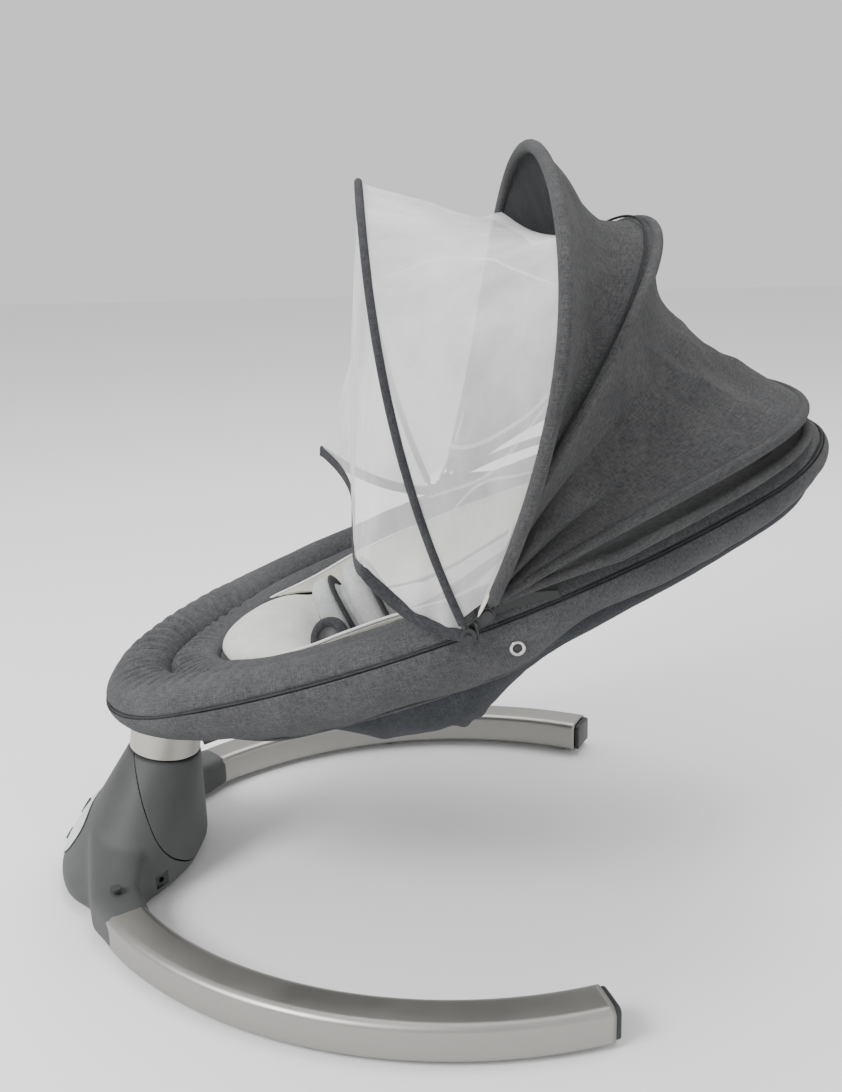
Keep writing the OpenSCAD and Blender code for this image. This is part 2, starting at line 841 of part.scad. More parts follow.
module recline_bolts() {
    color(steel_grey) centred()
        in_rim()
            both_sides()
                translate([hinge_s, bolt_in, hinge_n])
                    rotate([-90, 0, 0]) {
                        cylinder(r = bolt_radius, h = bolt_out - bolt_in);
                        cylinder(r = 5.5, h = 4);
                        translate([0, 0, ear_y_upper + ear_thickness / 2 + 0.5 - bolt_in])
                            cylinder(r = 5, h = bolt_out - ear_y_upper - ear_thickness / 2 - 0.5);
                        translate([0, 0, bolt_out - bolt_in])
                            cylinder(r1 = 6.5, r2 = 5, h = 2.5);
                    }
}

// ==== padding ====
// The foam sleeve on each frame comes in three lengths that meet at the rim's tangent points.
foam_joint = 0.05;
module rim_roll_lower() {
    color(fabric_grey) centred()
        in_rim()
            difference() {
                rim_sweep_lower(roll_end_lower, foam_joint)
                    roll_outline();
                translate([-60, -hub_half_width - 0.5, -60])
                    cube([80, 2 * hub_half_width + 1, 60.5]);
                fork_line(fork_radius + 0.5);
            }
}
module rim_roll_upper() {
    color(fabric_grey) centred()
        in_rim()
            rim_sweep_upper(roll_end_upper, foam_joint)
                roll_outline();
}

function signed_power(v, p) = sign(v) * pow(abs(v), p);
// A point of the fabric tub at station s and angle a across it, moved inwards by t.
function tub_point(s, a, t) =
    let (w = rim_width_at(s) - t, d = lookup(s, shell_depth_stations) + shell_edge_n - t)
    [s, w * signed_power(sin(a), 2 / 3), shell_edge_n - d * pow(abs(cos(a)), 2 / 3)];
function tub_grid(s0, s1, rows, t) =
    [for (i = [0 : rows]) [for (j = [0 : 20]) tub_point(s0 + (s1 - s0) * i / rows, -90 + 9 * j, t)]];
module tub(s0, s1, rows) {
    color(fabric_grey) centred()
        in_rim()
            sheet(tub_grid(s0, s1, rows, shell_thickness), tub_grid(s0, s1, rows, 0));
}
module seat_shell_lower() tub(26, 312, 18);
module seat_shell_upper() tub(334, 606, 14);

// Height of the sitting surface at station s, a lateral distance y off the middle.
function seat_height(s, y) =
    let (b = lookup(s, sitting_stations), w = max(30, rim_width_at(s) - liner_inset))
    b + (liner_edge_n - b) * pow(min(1, abs(y) / w), 2.6);
// A pad between two heights above the sitting surface; half_widths gives [s, half-width] stations.
function pad_grid(stations, half_widths, lift, middle) =
    [for (s = stations) [for (j = [-8 : 8])
        let (y = middle + lookup(s, half_widths) * j / 8) [s, y, seat_height(s, y) + lift]]];
module pad(stations, half_widths, low, high, middle = 0) {
    sheet(pad_grid(stations, half_widths, high, middle), pad_grid(stations, half_widths, low, middle));
}
function spread(a, b, n) = [for (i = [0 : n]) a + (b - a) * i / n];
foot_pad_inset = 34;
foot_pad_thickness = 5;
foot_pad_stations = spread(8, 120, 10);
liner_stations = spread(126, lower_pads_end, 14);
back_pad_inset = 28;
back_stations = spread(upper_pads_start, 570, 12);
insert_lower_stations = concat([63, 66, 72, 82, 95], spread(110, lower_pads_end, 14));
insert_upper_stations = concat(spread(upper_pads_start, insert_head - 30, 10),
    [insert_head - 15, insert_head - 6, insert_head - 1]);
function insert_width_at(s) =
    s < insert_front + insert_front_round
        ? insert_half_width * sqrt(max(0.01, 1 - pow((insert_front + insert_front_round - s)
            / insert_front_round, 2)))
    : s > insert_head - 40
        ? insert_half_width * sqrt(max(0.01, 1 - pow((s - insert_head + 40) / 40, 2)))
    : insert_half_width;
module foot_pad() {
    color(fabric_grey) centred()
        in_rim()
            pad(foot_pad_stations, [for (s = foot_pad_stations) [s, inset_width_at(s, foot_pad_inset)]],
                -foot_pad_thickness, 0);
}
module seat_liner() {
    color(fabric_grey) centred()
        in_rim()
            pad(liner_stations, [for (s = liner_stations) [s, rim_width_at(s) - liner_inset]],
                -liner_thickness, 0);
}
module back_pad() {
    color(fabric_grey) centred()
        in_rim()
            pad(back_stations, [for (s = back_stations) [s, inset_width_at(s, back_pad_inset)]],
                -liner_thickness, 0);
}
module insert_lower() {
    color(insert_cream) centred()
        in_rim()
            pad(insert_lower_stations, [for (s = insert_lower_stations) [s, insert_width_at(s)]],
                insert_gap, insert_gap + insert_thickness);
}
module insert_upper() {
    color(insert_cream) centred()
        in_rim()
            pad(insert_upper_stations, [for (s = insert_upper_stations) [s, insert_width_at(s)]],
                insert_gap, insert_gap + insert_thickness);
}
bolster_radius = 10.5;
bolster_inset = 34;
// Station at which a bolster starts, at its foot end.
bolster_start = 126;
module side_bolster() {
    start = side_angle(roll_end_lower);
    translate([rim_side_s, -rim_side_y, 2])
        rotate([0, 0, start])
            rotate_extrude(angle = side_angle(bolster_start) - start)
                translate([rim_side_radius - bolster_inset, 0])
                    circle(r = bolster_radius);
}
module side_bolster_left() color(fabric_grey) centred() in_rim() side_bolster();
module side_bolster_right() color(fabric_grey) centred() in_rim() mirror([0, 1, 0]) side_bolster();

// ==== harness ====
module crotch_pad() {
    color(insert_cream) centred()
        in_rim()
            hull()
                for (p = [[186, -34], [210, -42], [178, 4], [204, 8]], y = [-28, 28])
                    translate([p[0], y, p[1]])
                        sphere(r = 9, $fn = 16);
}
buckle_radius = 15;
buckle_at = [168, 0, -14];
button_travel = 1.5;
module buckle() {
    color(rubber_black) centred()
        in_rim()
            translate(buckle_at)
                rotate([0, -90, 0])
                    difference() {
                        cylinder(r = buckle_radius, h = 8);
                        translate([0, 0, 3])
                            cylinder(r = 7.3, h = 10);
                    }
}
module buckle_button() {
    color([0.2, 0.2, 0.21]) centred()
        in_rim()
            translate(buckle_at + [-4.8, 0, 0])
                rotate([0, -90, 0])
                    cylinder(r = 7, h = 4.2);
}
module strap_hook() {
    color(rubber_black) centred()
        in_rim()
            difference() {
                translate([30, -74, -54.2])
                    cube([20, 10, 11]);
                translate([33, -80, -50.2])
                    cube([14, 30, 4]);
            }
}
shoulder_stations = spread(346, 450, 8);
module shoulder_pads() {
    color(insert_cream) centred()
        in_rim()
            for (side = [-1, 1])
                pad(shoulder_stations, [for (s = shoulder_stations) [s, 16]],
                    insert_gap + insert_thickness + 0.5, insert_gap + insert_thickness + 8, side * 44);
}

// ==== canopy ====
bracket_s = 350;
bracket_length = 18;
pivot_s = (pivot_x - axis_x) * cos(rim_pitch) + (pivot_z - rim_z) * sin(rim_pitch);
pivot_n = (pivot_z - rim_z) * cos(rim_pitch) - (pivot_x - axis_x) * sin(rim_pitch);
module canopy_bracket() {
    difference() {
        union() {
            translate([bracket_s, rim_half_width - 14, -12])
                cube([bracket_length, bracket_y + bracket_thickness - rim_half_width + 14, 24]);
            translate([0, bracket_y + bracket_thickness, 0])
                rotate([90, 0, 0])
                    linear_extrude(bracket_thickness)
                        union() {
                            translate([pivot_s, pivot_n])
                                circle(r = 9);
                            polygon([[pivot_s, pivot_n + 9], [bracket_s + bracket_length, 12],
                                [bracket_s + bracket_length, -12], [bracket_s, -12],
                                [pivot_s - 3, pivot_n - 8.5]]);
                        }
        }
        rim_sweep_upper(tube_end_upper - 2)
            circle(r = frame_tube_radius + 0.1);
        translate([pivot_s, 160, pivot_n])
            rotate([-90, 0, 0])
                cylinder(r = pin_radius + 0.02, h = 60);
    }
}
module canopy_bracket_left() color(rubber_black) centred() in_rim() canopy_bracket();
module canopy_bracket_right() color(rubber_black) centred() in_rim() mirror([0, 1, 0]) canopy_bracket();
module at_pivot(y) {
    in_seat()
        both_sides()
            translate([pivot_x, y, pivot_z])
                rotate([-90, 0, 0])
                    children();
}
pin_end = front_hoop_y + eye_width / 2 + 0.3;
module canopy_pins() {
    color(steel_grey) centred()
        at_pivot(bracket_y + 0.5) {
            cylinder(r = pin_radius, h = pin_end - bracket_y);
            translate([0, 0, pin_end - bracket_y - 0.5])
                cylinder(r = 4.5, h = 1.5);
        }
}
module eyes() {
    difference() {
        cylinder(r = eye_radius, h = eye_width, center = true);
        cylinder(r = pin_radius + 0.03, h = 20, center = true);
    }
}
module hoop_eyes_rear() color(rubber_black) centred() at_pivot(rear_hoop_y) eyes();
module hoop_eyes_mid() color(rubber_black) centred() at_pivot(mid_hoop_y) eyes();
// The front hoop's eyes carry the stub pins that the net hoop turns on.
module hoop_eyes_front() {
    dx = net_pivot_x - pivot_x;
    dy = pivot_z - net_pivot_z;
    color(rubber_black) centred()
        at_pivot(front_hoop_y)
            difference() {
                union() {
                    cylinder(r = eye_radius, h = eye_width, center = true);
                    translate([dx, dy, 0])
                        cylinder(r = 5, h = eye_width, center = true);
                    rotate([0, 0, atan2(dy, dx)])
                        translate([0, -4, -eye_width / 2])
                            cube([norm([dx, dy]), 8, eye_width]);
                    translate([dx, dy, 0])
                        cylinder(r = pin_radius, h = eye_width / 2 + 9);
                }
                cylinder(r = pin_radius + 0.03, h = 40, center = true);
            }
}
module net_eyes() {
    color(rubber_black) centred()
        in_seat()
            both_sides()
                translate([net_pivot_x, net_hoop_y, net_pivot_z])
                    rotate([-90, 0, 0])
                        eyes();
}
// Half-width and height of a hoop at k, which runs 0 to 4 from the right leg over the top.
function hoop_outline(h, k) =
    let (w0 = h[2], rise = h[4], wide = h[5], level = h[6])
    k < 1 ? [-(w0 + (wide - w0) * sin(90 * k)), rod_start + (level - rod_start) * k]
    : k > 3 ? [w0 + (wide - w0) * sin(90 * (4 - k)), rod_start + (level - rod_start) * (4 - k)]
    : [-wide * cos(90 * (k - 1)), level + (rise - level) * sin(90 * (k - 1))];
function hoop_point(h, k) =
    let (p = hoop_outline(h, k), lean = h[3], bow = 4 * h[7] * p[1] * (1 - p[1] / h[4]))
    [h[0] + p[1] * sin(lean) + bow * cos(lean), p[0], h[1] + p[1] * cos(lean) - bow * sin(lean)];
rod_sides = 8;
// A round rod along a hoop, as rings of points square to its run.
function rod_ring(h, k) =
    let (step = 0.02, a = hoop_point(h, max(0, k - step)), b = hoop_point(h, min(4, k + step)),
        run = (b - a) / norm(b - a), side = [cos(h[3]), 0, -sin(h[3])],
        flat = side - run * (side * run), u = flat / norm(flat), v = cross(run, u),
        c = hoop_point(h, k))
    [for (i = [0 : rod_sides - 1])
        c + hoop_radius * (u * cos(360 * i / rod_sides) + v * sin(360 * i / rod_sides))];
module rod(h) {
    rings = [for (i = [0 : hoop_steps]) rod_ring(h, 4 * i / hoop_steps)];
    walls = [for (i = [0 : hoop_steps - 1]) for (j = [0 : rod_sides - 1])
        let (a = i * rod_sides + j, b = i * rod_sides + (j + 1) % rod_sides)
        each [[a, b, b + rod_sides], [a, b + rod_sides, a + rod_sides]]];
    first = [for (j = [rod_sides - 1 : -1 : 0]) j];
    last = [for (j = [0 : rod_sides - 1]) hoop_steps * rod_sides + j];
    in_seat()
        polyhedron([for (r = rings) each r], concat(walls, [first, last]), convexity = 10);
}
module canopy_hoop_rear() color(rubber_black) centred() rod(rear_hoop);
module canopy_hoop_mid() color(rubber_black) centred() rod(mid_hoop);
module canopy_hoop_front() color(rubber_black) centred() rod(front_hoop);
module net_hoop() color(rubber_black) centred() rod(net_arch);

// A sheet of cloth stretched between two curves, drawn in towards its middle by a share sag.
cloth_rows = 8;
cloth_steps = 24;
cloth_ends = 0.6;
// Share of the way between two hoops that is left free beside each hoop.
cloth_margin = 0.155;
function cloth_point(a, b, u, sag, t) =
    let (c = [pivot_x, 0, pivot_z], p = a + (b - a) * u, q = c + (p - c) * (1 - 4 * sag * u * (1 - u)),
        r = q - c)
    c + r * (1 - t / norm(r));
function cloth_k(j) = cloth_ends + (4 - 2 * cloth_ends) * j / cloth_steps;
function hoop_cloth(h1, h2, sag, t) =
    [for (i = [0 : cloth_rows]) [for (j = [0 : cloth_steps])
        cloth_point(hoop_point(h1, cloth_k(j)), hoop_point(h2, cloth_k(j)),
            cloth_margin + (1 - 2 * cloth_margin) * i / cloth_rows, sag, t)]];
module hoop_sheet(h1, h2, sag, thick) {
    in_seat()
        sheet(hoop_cloth(h1, h2, sag, thick), hoop_cloth(h1, h2, sag, 0));
}
module canopy_cloth_front() color(fabric_grey) centred() hoop_sheet(front_hoop, mid_hoop, 0.05, cloth_thickness);
module canopy_cloth_rear() color(fabric_grey) centred() hoop_sheet(mid_hoop, rear_hoop, 0.13, cloth_thickness);
module net_top() color(net_white) centred() hoop_sheet(net_arch, front_hoop, 0, net_thickness);

// The free hem of the net's front curtain, from the right pivot across the front to the left one.
hem_x = -92;
hem_side_y = 196;
hem_low = 322;
hem_corner = 352;
function hem_point(k) =
    k < 1 ? [net_pivot_x + (hem_x + 14 - net_pivot_x) * k, -net_hoop_y + (net_hoop_y - hem_side_y) * k,
        net_pivot_z + (hem_corner - net_pivot_z) * k * k]
    : k > 3 ? [net_pivot_x + (hem_x + 14 - net_pivot_x) * (4 - k),
        net_hoop_y - (net_hoop_y - hem_side_y) * (4 - k),
        net_pivot_z + (hem_corner - net_pivot_z) * (4 - k) * (4 - k)]
    : [hem_x + 14 * abs(cos(90 * (k - 1))), -hem_side_y * cos(90 * (k - 1)),
        hem_low + (hem_corner - hem_low) * abs(cos(90 * (k - 1)))];
function curtain(t) =
    [for (i = [0 : cloth_rows]) [for (j = [0 : cloth_steps])
        cloth_point(hem_point(cloth_k(j)), hoop_point(net_arch, cloth_k(j)),
            0.94 * i / cloth_rows, 0, t)]];
module net_front() {
    color(net_white) centred()
        in_seat()
            sheet(curtain(net_thickness), curtain(0));
}

tower_front_shell();
tower_rear_shell();
tower_base_plate();
base_arm_right();
base_arm_left();
arm_cap_right();
arm_cap_left();
base_feet();
socket_screws();
control_panel();
power_key();
speed_key();
music_key();
power_inlet();
control_board();
speaker();
drive_motor();
motor_bracket();
motor_pinion();
lower_bearing();
upper_bearing();
swing_shaft();
sector_gear();
swing_collar();
seat_hub();
support_fork();
seat_frame_lower();
recline_bolts();
rim_roll_lower();
seat_shell_lower();
foot_pad();
seat_liner();
insert_lower();
side_bolster_right();
side_bolster_left();
crotch_pad();
buckle();
buckle_button();
strap_hook();
seat_frame_upper();
rim_roll_upper();
seat_shell_upper();
back_pad();
insert_upper();
shoulder_pads();
canopy_bracket_right();
canopy_bracket_left();
canopy_pins();
hoop_eyes_rear();
canopy_hoop_rear();
hoop_eyes_mid();
canopy_hoop_mid();
canopy_cloth_rear();
hoop_eyes_front();
canopy_hoop_front();
canopy_cloth_front();
net_eyes();
net_hoop();
net_top();
net_front();
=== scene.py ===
import math

import bmesh
import bpy
import numpy as np
from mathutils import Matrix, Vector, noise
from mathutils.bvhtree import BVHTree
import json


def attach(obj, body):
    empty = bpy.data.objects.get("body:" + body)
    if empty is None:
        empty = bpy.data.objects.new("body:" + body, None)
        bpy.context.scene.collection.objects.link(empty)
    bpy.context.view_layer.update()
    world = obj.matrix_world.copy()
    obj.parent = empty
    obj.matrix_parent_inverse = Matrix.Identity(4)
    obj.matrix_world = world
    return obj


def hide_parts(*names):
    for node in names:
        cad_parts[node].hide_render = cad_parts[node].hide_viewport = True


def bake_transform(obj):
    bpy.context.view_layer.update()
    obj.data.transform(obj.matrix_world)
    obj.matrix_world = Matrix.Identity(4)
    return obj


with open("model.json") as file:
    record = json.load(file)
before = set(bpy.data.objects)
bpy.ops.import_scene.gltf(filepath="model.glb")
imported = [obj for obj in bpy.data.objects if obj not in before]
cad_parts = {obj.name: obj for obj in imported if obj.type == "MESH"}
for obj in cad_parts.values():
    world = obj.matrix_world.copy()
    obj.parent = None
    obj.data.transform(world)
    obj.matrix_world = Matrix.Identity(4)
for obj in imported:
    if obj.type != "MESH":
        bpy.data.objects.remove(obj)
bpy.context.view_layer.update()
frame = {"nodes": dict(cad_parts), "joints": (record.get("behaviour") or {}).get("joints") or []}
nodes = frame["nodes"]
joints = {joint["name"]: joint for joint in frame["joints"]}
MM = 0.001
SIDES = ((-1, "right"), (1, "left"))
WORLD_Y = np.array([0, 1.0, 0])
WORLD_Z = np.array([0, 0, 1.0])


# ---- places: the seat's, the rim's and the base's own frames, read from the joints ----
PITCH = math.radians(19)
HINGE = (323, -19)
AXIS_POINT = (-268, 135)
RIM_START = (-268, 196)


def joint_vector(name, key="axis"):
    return np.array(joints[name][key], float)


rim_y = -joint_vector("recline")
rim_s = -joint_vector("buckle_press")
rim_n = np.cross(rim_s, rim_y)
seat_x = math.cos(PITCH) * rim_s - math.sin(PITCH) * rim_n
seat_z = math.sin(PITCH) * rim_s + math.cos(PITCH) * rim_n
rim_origin = joint_vector("recline", "pos_m") - MM * (HINGE[0] * rim_s + HINGE[1] * rim_n)
seat_origin = rim_origin - MM * (RIM_START[0] * seat_x + RIM_START[1] * seat_z)
base_origin = joint_vector("swing", "pos_m") - MM * np.array([AXIS_POINT[0], 0, AXIS_POINT[1]])


def spot(origin, axes, coords):
    """World points from millimetre coordinates along three axes; each coordinate may be an array."""
    a, b, c = np.broadcast_arrays(*[np.asarray(v, float) for v in coords])
    return origin + MM * (a[..., None] * axes[0] + b[..., None] * axes[1] + c[..., None] * axes[2])


def rim_at(s, y, n):
    return spot(rim_origin, (rim_s, rim_y, rim_n), (s, y, n))


def seat_at(x, y, z):
    return spot(seat_origin, (seat_x, rim_y, seat_z), (x, y, z))


def base_at(x, y, z):
    return spot(base_origin, np.eye(3), (x, y, z))


# ---- meshes ----
def unit(v):
    return v / np.maximum(np.linalg.norm(v, axis=-1, keepdims=True), 1e-12)


def circle(count):
    """Angles evenly round a full turn."""
    return np.linspace(0, 2 * math.pi, count, endpoint=False)


def squared(values, power):
    """Raises the size of each value to a power and keeps its sign, so that a circle nears a square."""
    return np.sign(values) * np.abs(values) ** power


def bent(t, start, middle, end):
    """A curve from start to end, drawn towards the middle."""
    return (1 - t) ** 2 * start + 2 * t * (1 - t) * middle + t ** 2 * end


def arch(u):
    """0 at both ends of u = 0 to 1, and 1 halfway."""
    return np.sin(np.pi * np.clip(u, 0, 1))


def add_object(name, mesh, material):
    obj = bpy.data.objects.new(name, mesh)
    bpy.context.scene.collection.objects.link(obj)
    mesh.materials.append(material)
    mesh.polygons.foreach_set("use_smooth", [True] * len(mesh.polygons))
    return obj


def object_from(shape, name, material):
    """Turns a bmesh into an object and frees it."""
    mesh = bpy.data.meshes.new(name)
    shape.to_mesh(mesh)
    shape.free()
    return add_object(name, mesh, material)


def vertex_places(obj):
    co = np.zeros(len(obj.data.vertices) * 3)
    obj.data.vertices.foreach_get("co", co)
    return co.reshape(-1, 3)


def place_vertices(obj, places):
    obj.data.vertices.foreach_set("co", np.ascontiguousarray(places).ravel())
    obj.data.update()


def mount(obj, body, slot, *replaced):
    """Puts a piece on the body it moves with, in place of the CAD nodes named; slot is not used."""
    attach(obj, body)
    if replaced:
        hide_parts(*replaced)


def mount_bending(obj, bodies, line, slot, *replaced):
    """Hides the CAD nodes named and bakes the piece's place into its mesh; bodies, line and slot are not
    used.
    """
    if replaced:
        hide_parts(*replaced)
    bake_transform(obj)


GRIDS = {}


def grid_object(name, points, material, ring_rows=False, ring_cols=False, caps=False):
    """A surface from a (rows, cols, 3) grid of world points, with UVs in metres of cloth."""
    GRIDS[name] = points
    rows, cols = points.shape[:2]
    index = np.arange(rows * cols).reshape(rows, cols)
    if ring_rows:
        index = np.vstack([index, index[:1]])
    if ring_cols:
        index = np.hstack([index, index[:, :1]])
    flat = points.reshape(-1, 3)
    across = np.linalg.norm(np.diff(flat[index], axis=1), axis=2).mean(0)
    along = np.linalg.norm(np.diff(flat[index], axis=0), axis=2).mean(1)
    u, v = np.concatenate([[0], np.cumsum(across)]), np.concatenate([[0], np.cumsum(along)])
    quads = np.stack([index[:-1, :-1], index[:-1, 1:], index[1:, 1:], index[1:, :-1]], -1).reshape(-1, 4)
    uu, vv = np.meshgrid(u, v)
    uv = np.stack([uu, vv], -1)
    loops = np.stack([uv[:-1, :-1], uv[:-1, 1:], uv[1:, 1:], uv[1:, :-1]], 2).reshape(-1, 2)
    faces = quads.tolist()
    if caps:
        faces += [index[0, :cols][::-1].tolist(), index[-1, :cols].tolist()]
        loops = np.vstack([loops, uv[0, :cols][::-1], uv[-1, :cols]])
    mesh = bpy.data.meshes.new(name)
    mesh.from_pydata(flat.tolist(), [], faces)
    layer = mesh.uv_layers.new(name="Cloth")
    layer.data.foreach_set("uv", loops.ravel())
    return add_object(name, mesh, material)


def settle(obj, *modifiers):
    """Adds the modifiers given as (type, settings) and makes their result the object's own mesh."""
    for kind, settings in modifiers:
        modifier = obj.modifiers.new(kind.title(), kind)
        for key, value in settings.items():
            setattr(modifier, key, value)
    bpy.context.view_layer.update()
    shown = obj.evaluated_get(bpy.context.evaluated_depsgraph_get())
    mesh = bpy.data.meshes.new_from_object(shown, preserve_all_data_layers=True,
                                           depsgraph=bpy.context.evaluated_depsgraph_get())
    obj.modifiers.clear()
    obj.data = mesh
    mesh.polygons.foreach_set("use_smooth", [True] * len(mesh.polygons))
    return obj


def refine(obj):
    return settle(obj, ("SUBSURF", {"levels": 1, "render_levels": 1}))


def thicken(obj, millimetres):
    """Gives a cloth its thickness, half to each side, and rounds its edges."""
    settle(obj, ("SOLIDIFY", {"thickness": millimetres * MM, "offset": 0}))
    return refine(obj)


def bevelled(millimetres, segments):
    """A bevel for settle, on sharp edges only."""
    return ("BEVEL", {"width": millimetres * MM, "segments": segments, "limit_method": "ANGLE",
                      "angle_limit": math.radians(50)})


def run_frames(path):
    """Side and up vectors along a path, carried without twisting."""
    tangent = unit(np.gradient(path, axis=0))
    side = np.cross(tangent[0], seat_z if abs(tangent[0] @ seat_z) < 0.9 else seat_x)
    sides = []
    for t in tangent:
        side = unit(side - t * (side @ t))
        sides.append(side)
    sides = np.array(sides)
    return sides, np.cross(tangent, sides)


def tube_object(name, path, radius, material, flatness=1.0, sides=14, closed=False):
    """A round or oval tube along a path; radius is a number or one per point, in millimetres."""
    side, up = run_frames(path)
    turn = circle(sides)[None, :, None]
    r = np.broadcast_to(np.asarray(radius, float), (len(path),))[:, None, None] * MM
    points = path[:, None] + r * (np.cos(turn) * side[:, None] + flatness * np.sin(turn) * up[:, None])
    return grid_object(name, points, material, ring_rows=closed, ring_cols=True, caps=not closed)


def joined(name, objects):
    bpy.ops.object.select_all(action="DESELECT")
    for obj in objects:
        obj.select_set(True)
    bpy.context.view_layer.objects.active = objects[0]
    bpy.ops.object.join()
    objects[0].name = name
    return objects[0]


def two_tone(name, first, second):
    """Joins two pieces, each of which keeps its own material."""
    materials = [first.data.materials[0], second.data.materials[0]]
    second_faces = len(second.data.polygons)
    obj = joined(name, [first, second])
    obj.data.materials.clear()
    for material in materials:
        obj.data.materials.append(material)
    first_faces = len(obj.data.polygons) - second_faces
    obj.data.polygons.foreach_set("material_index", [0] * first_faces + [1] * second_faces)
    return obj


def smooth_noise(points, size, seed=0, octaves=2):
    """Noise from -1 to 1 at world points; size is the length of its waves in millimetres."""
    flat = np.asarray(points).reshape(-1, 3) / (size * MM) + seed * 7.31
    values = [noise.fractal(Vector(p), 1.0, 2.0, octaves) for p in flat]
    return np.clip(np.array(values).reshape(np.asarray(points).shape[:-1]), -1.5, 1.5)


def grid_normals(points, ring_rows=False):
    """Unit normals at a grid of points."""
    down = np.roll(points, -1, 0) - np.roll(points, 1, 0) if ring_rows else np.gradient(points, axis=0)
    return unit(np.cross(np.gradient(points, axis=1), down))


def bump_at(x, centre, width):
    return np.exp(-((x - centre) / width) ** 2)


def smooth_step(x, low, high):
    t = np.clip((x - low) / (high - low), 0, 1)
    return t * t * (3 - 2 * t)


# ---- materials ----
class Nodes:
    """Short calls for building one material's node tree."""

    def __init__(self, name):
        self.material = bpy.data.materials.new(name)
        self.material.use_nodes = True
        self.tree = self.material.node_tree
        self.shader = self.tree.nodes["Principled BSDF"]

    def add(self, kind, inputs=None, **settings):
        node = self.tree.nodes.new(kind)
        for key, value in settings.items():
            setattr(node, key, value)
        for key, value in (inputs or {}).items():
            self.put(node.inputs[key], value)
        return node

    def put(self, socket, value):
        if isinstance(value, bpy.types.NodeSocket):
            self.tree.links.new(value, socket)
        else:
            socket.default_value = value

    def shade(self, **inputs):
        for key, value in inputs.items():
            self.put(self.shader.inputs[key.replace("_", " ")], value)

    def math(self, operation, a, b=0.0):
        node = self.add("ShaderNodeMath", operation=operation)
        self.put(node.inputs[0], a)
        self.put(node.inputs[1], b)
        return node.outputs[0]

    def noise(self, coords, scale, detail=2.0, roughness=0.5):
        return self.add("ShaderNodeTexNoise", {"Vector": coords, "Scale": scale, "Detail": detail,
                                               "Roughness": roughness}).outputs["Fac"]

    def ramp(self, value, stops):
        node = self.add("ShaderNodeValToRGB", {"Fac": value})
        while len(node.color_ramp.elements) < len(stops):
            node.color_ramp.elements.new(0.5)
        for element, (at, colour) in zip(node.color_ramp.elements, stops):
            element.position = at
            element.color = (*colour, 1)
        return node.outputs["Color"]

    def spread(self, value, start, end, low, high):
        """Maps a value that runs from start to end onto low to high."""
        return self.add("ShaderNodeMapRange", {"Value": value, "From Min": start, "From Max": end,
                                               "To Min": low, "To Max": high}).outputs["Result"]

    def mix(self, factor, a, b, blend="MIX"):
        node = self.add("ShaderNodeMix", data_type="RGBA", blend_type=blend)
        self.put(node.inputs["Factor"], factor)
        self.put(node.inputs["A"], a)
        self.put(node.inputs["B"], b)
        return node.outputs["Result"]

    def bump(self, height, distance, strength=1.0, under=None):
        node = self.add("ShaderNodeBump", {"Height": height, "Distance": distance, "Strength": strength})
        if under:
            self.put(node.inputs["Normal"], under)
        return node.outputs["Normal"]

    def cloth_uv(self):
        return self.add("ShaderNodeUVMap", uv_map="Cloth").outputs["UV"]

    def place(self):
        return self.add("ShaderNodeTexCoord").outputs["Object"]

    def stretched(self, coords, scale):
        return self.add("ShaderNodeMapping", {"Vector": coords, "Scale": scale}).outputs["Vector"]

    def wave(self, coords, scale, direction):
        return self.add("ShaderNodeTexWave", {"Vector": coords, "Scale": scale}, wave_type="BANDS",
                        bands_direction=direction, wave_profile="SIN").outputs["Fac"]


def woven(name, dark, light, thread=1.1, rough=0.92, fleck=1.0):
    """Heathered cloth: light and dark yarns crossing, long flecks along the yarns, and a soft nap."""
    m = Nodes(name)
    uv, place = m.cloth_uv(), m.place()
    per_metre = 1000 / thread / math.pi
    warp = m.wave(uv, per_metre, "X")
    weft = m.wave(uv, per_metre, "Y")
    along = m.noise(m.stretched(uv, (150, 850, 1)), 1.0, 4.0, 0.75)
    across = m.noise(m.stretched(uv, (850, 150, 1)), 1.0, 4.0, 0.75)
    yarns = [(0.36, dark), (0.64, light)]
    yarn = m.mix(m.math("GREATER_THAN", warp, weft), m.ramp(along, yarns), m.ramp(across, yarns))
    cloud = m.noise(place, 22.0, 5.0, 0.7)
    tone = m.ramp(cloud, [(0.3, (0.80, 0.80, 0.81)), (0.7, (1.14, 1.14, 1.13))])
    colour = m.mix(fleck, yarn, tone, "MULTIPLY")
    weave = m.math("MAXIMUM", warp, weft)
    fuzz = m.noise(place, 700.0, 3.0, 0.7)
    rumple = m.bump(m.noise(place, 55.0, 4.0, 0.6), 0.006, 0.16)
    normal = m.bump(m.math("ADD", weave, m.math("MULTIPLY", fuzz, 1.2)), 0.0005, 0.6, rumple)
    m.shade(Base_Color=colour, Roughness=rough, Normal=normal, Sheen_Weight=0.05, Sheen_Roughness=0.5,
            Specular_IOR_Level=0.12)
    return m.material


def velvet(name, dark, light):
    """Short soft pile with brushed patches."""
    m = Nodes(name)
    place = m.place()
    patch = m.noise(place, 34.0, 5.0, 0.55)
    pile = m.noise(place, 1400.0, 2.0, 0.6)
    tones = [(0.3, dark), (0.7, light)]
    colour = m.mix(0.35, m.ramp(patch, tones), m.ramp(pile, tones))
    normal = m.bump(pile, 0.0005, 0.6, m.bump(patch, 0.004, 0.25))
    m.shade(Base_Color=colour, Roughness=0.95, Normal=normal, Sheen_Weight=0.25, Sheen_Roughness=0.4,
            Specular_IOR_Level=0.1)
    return m.material


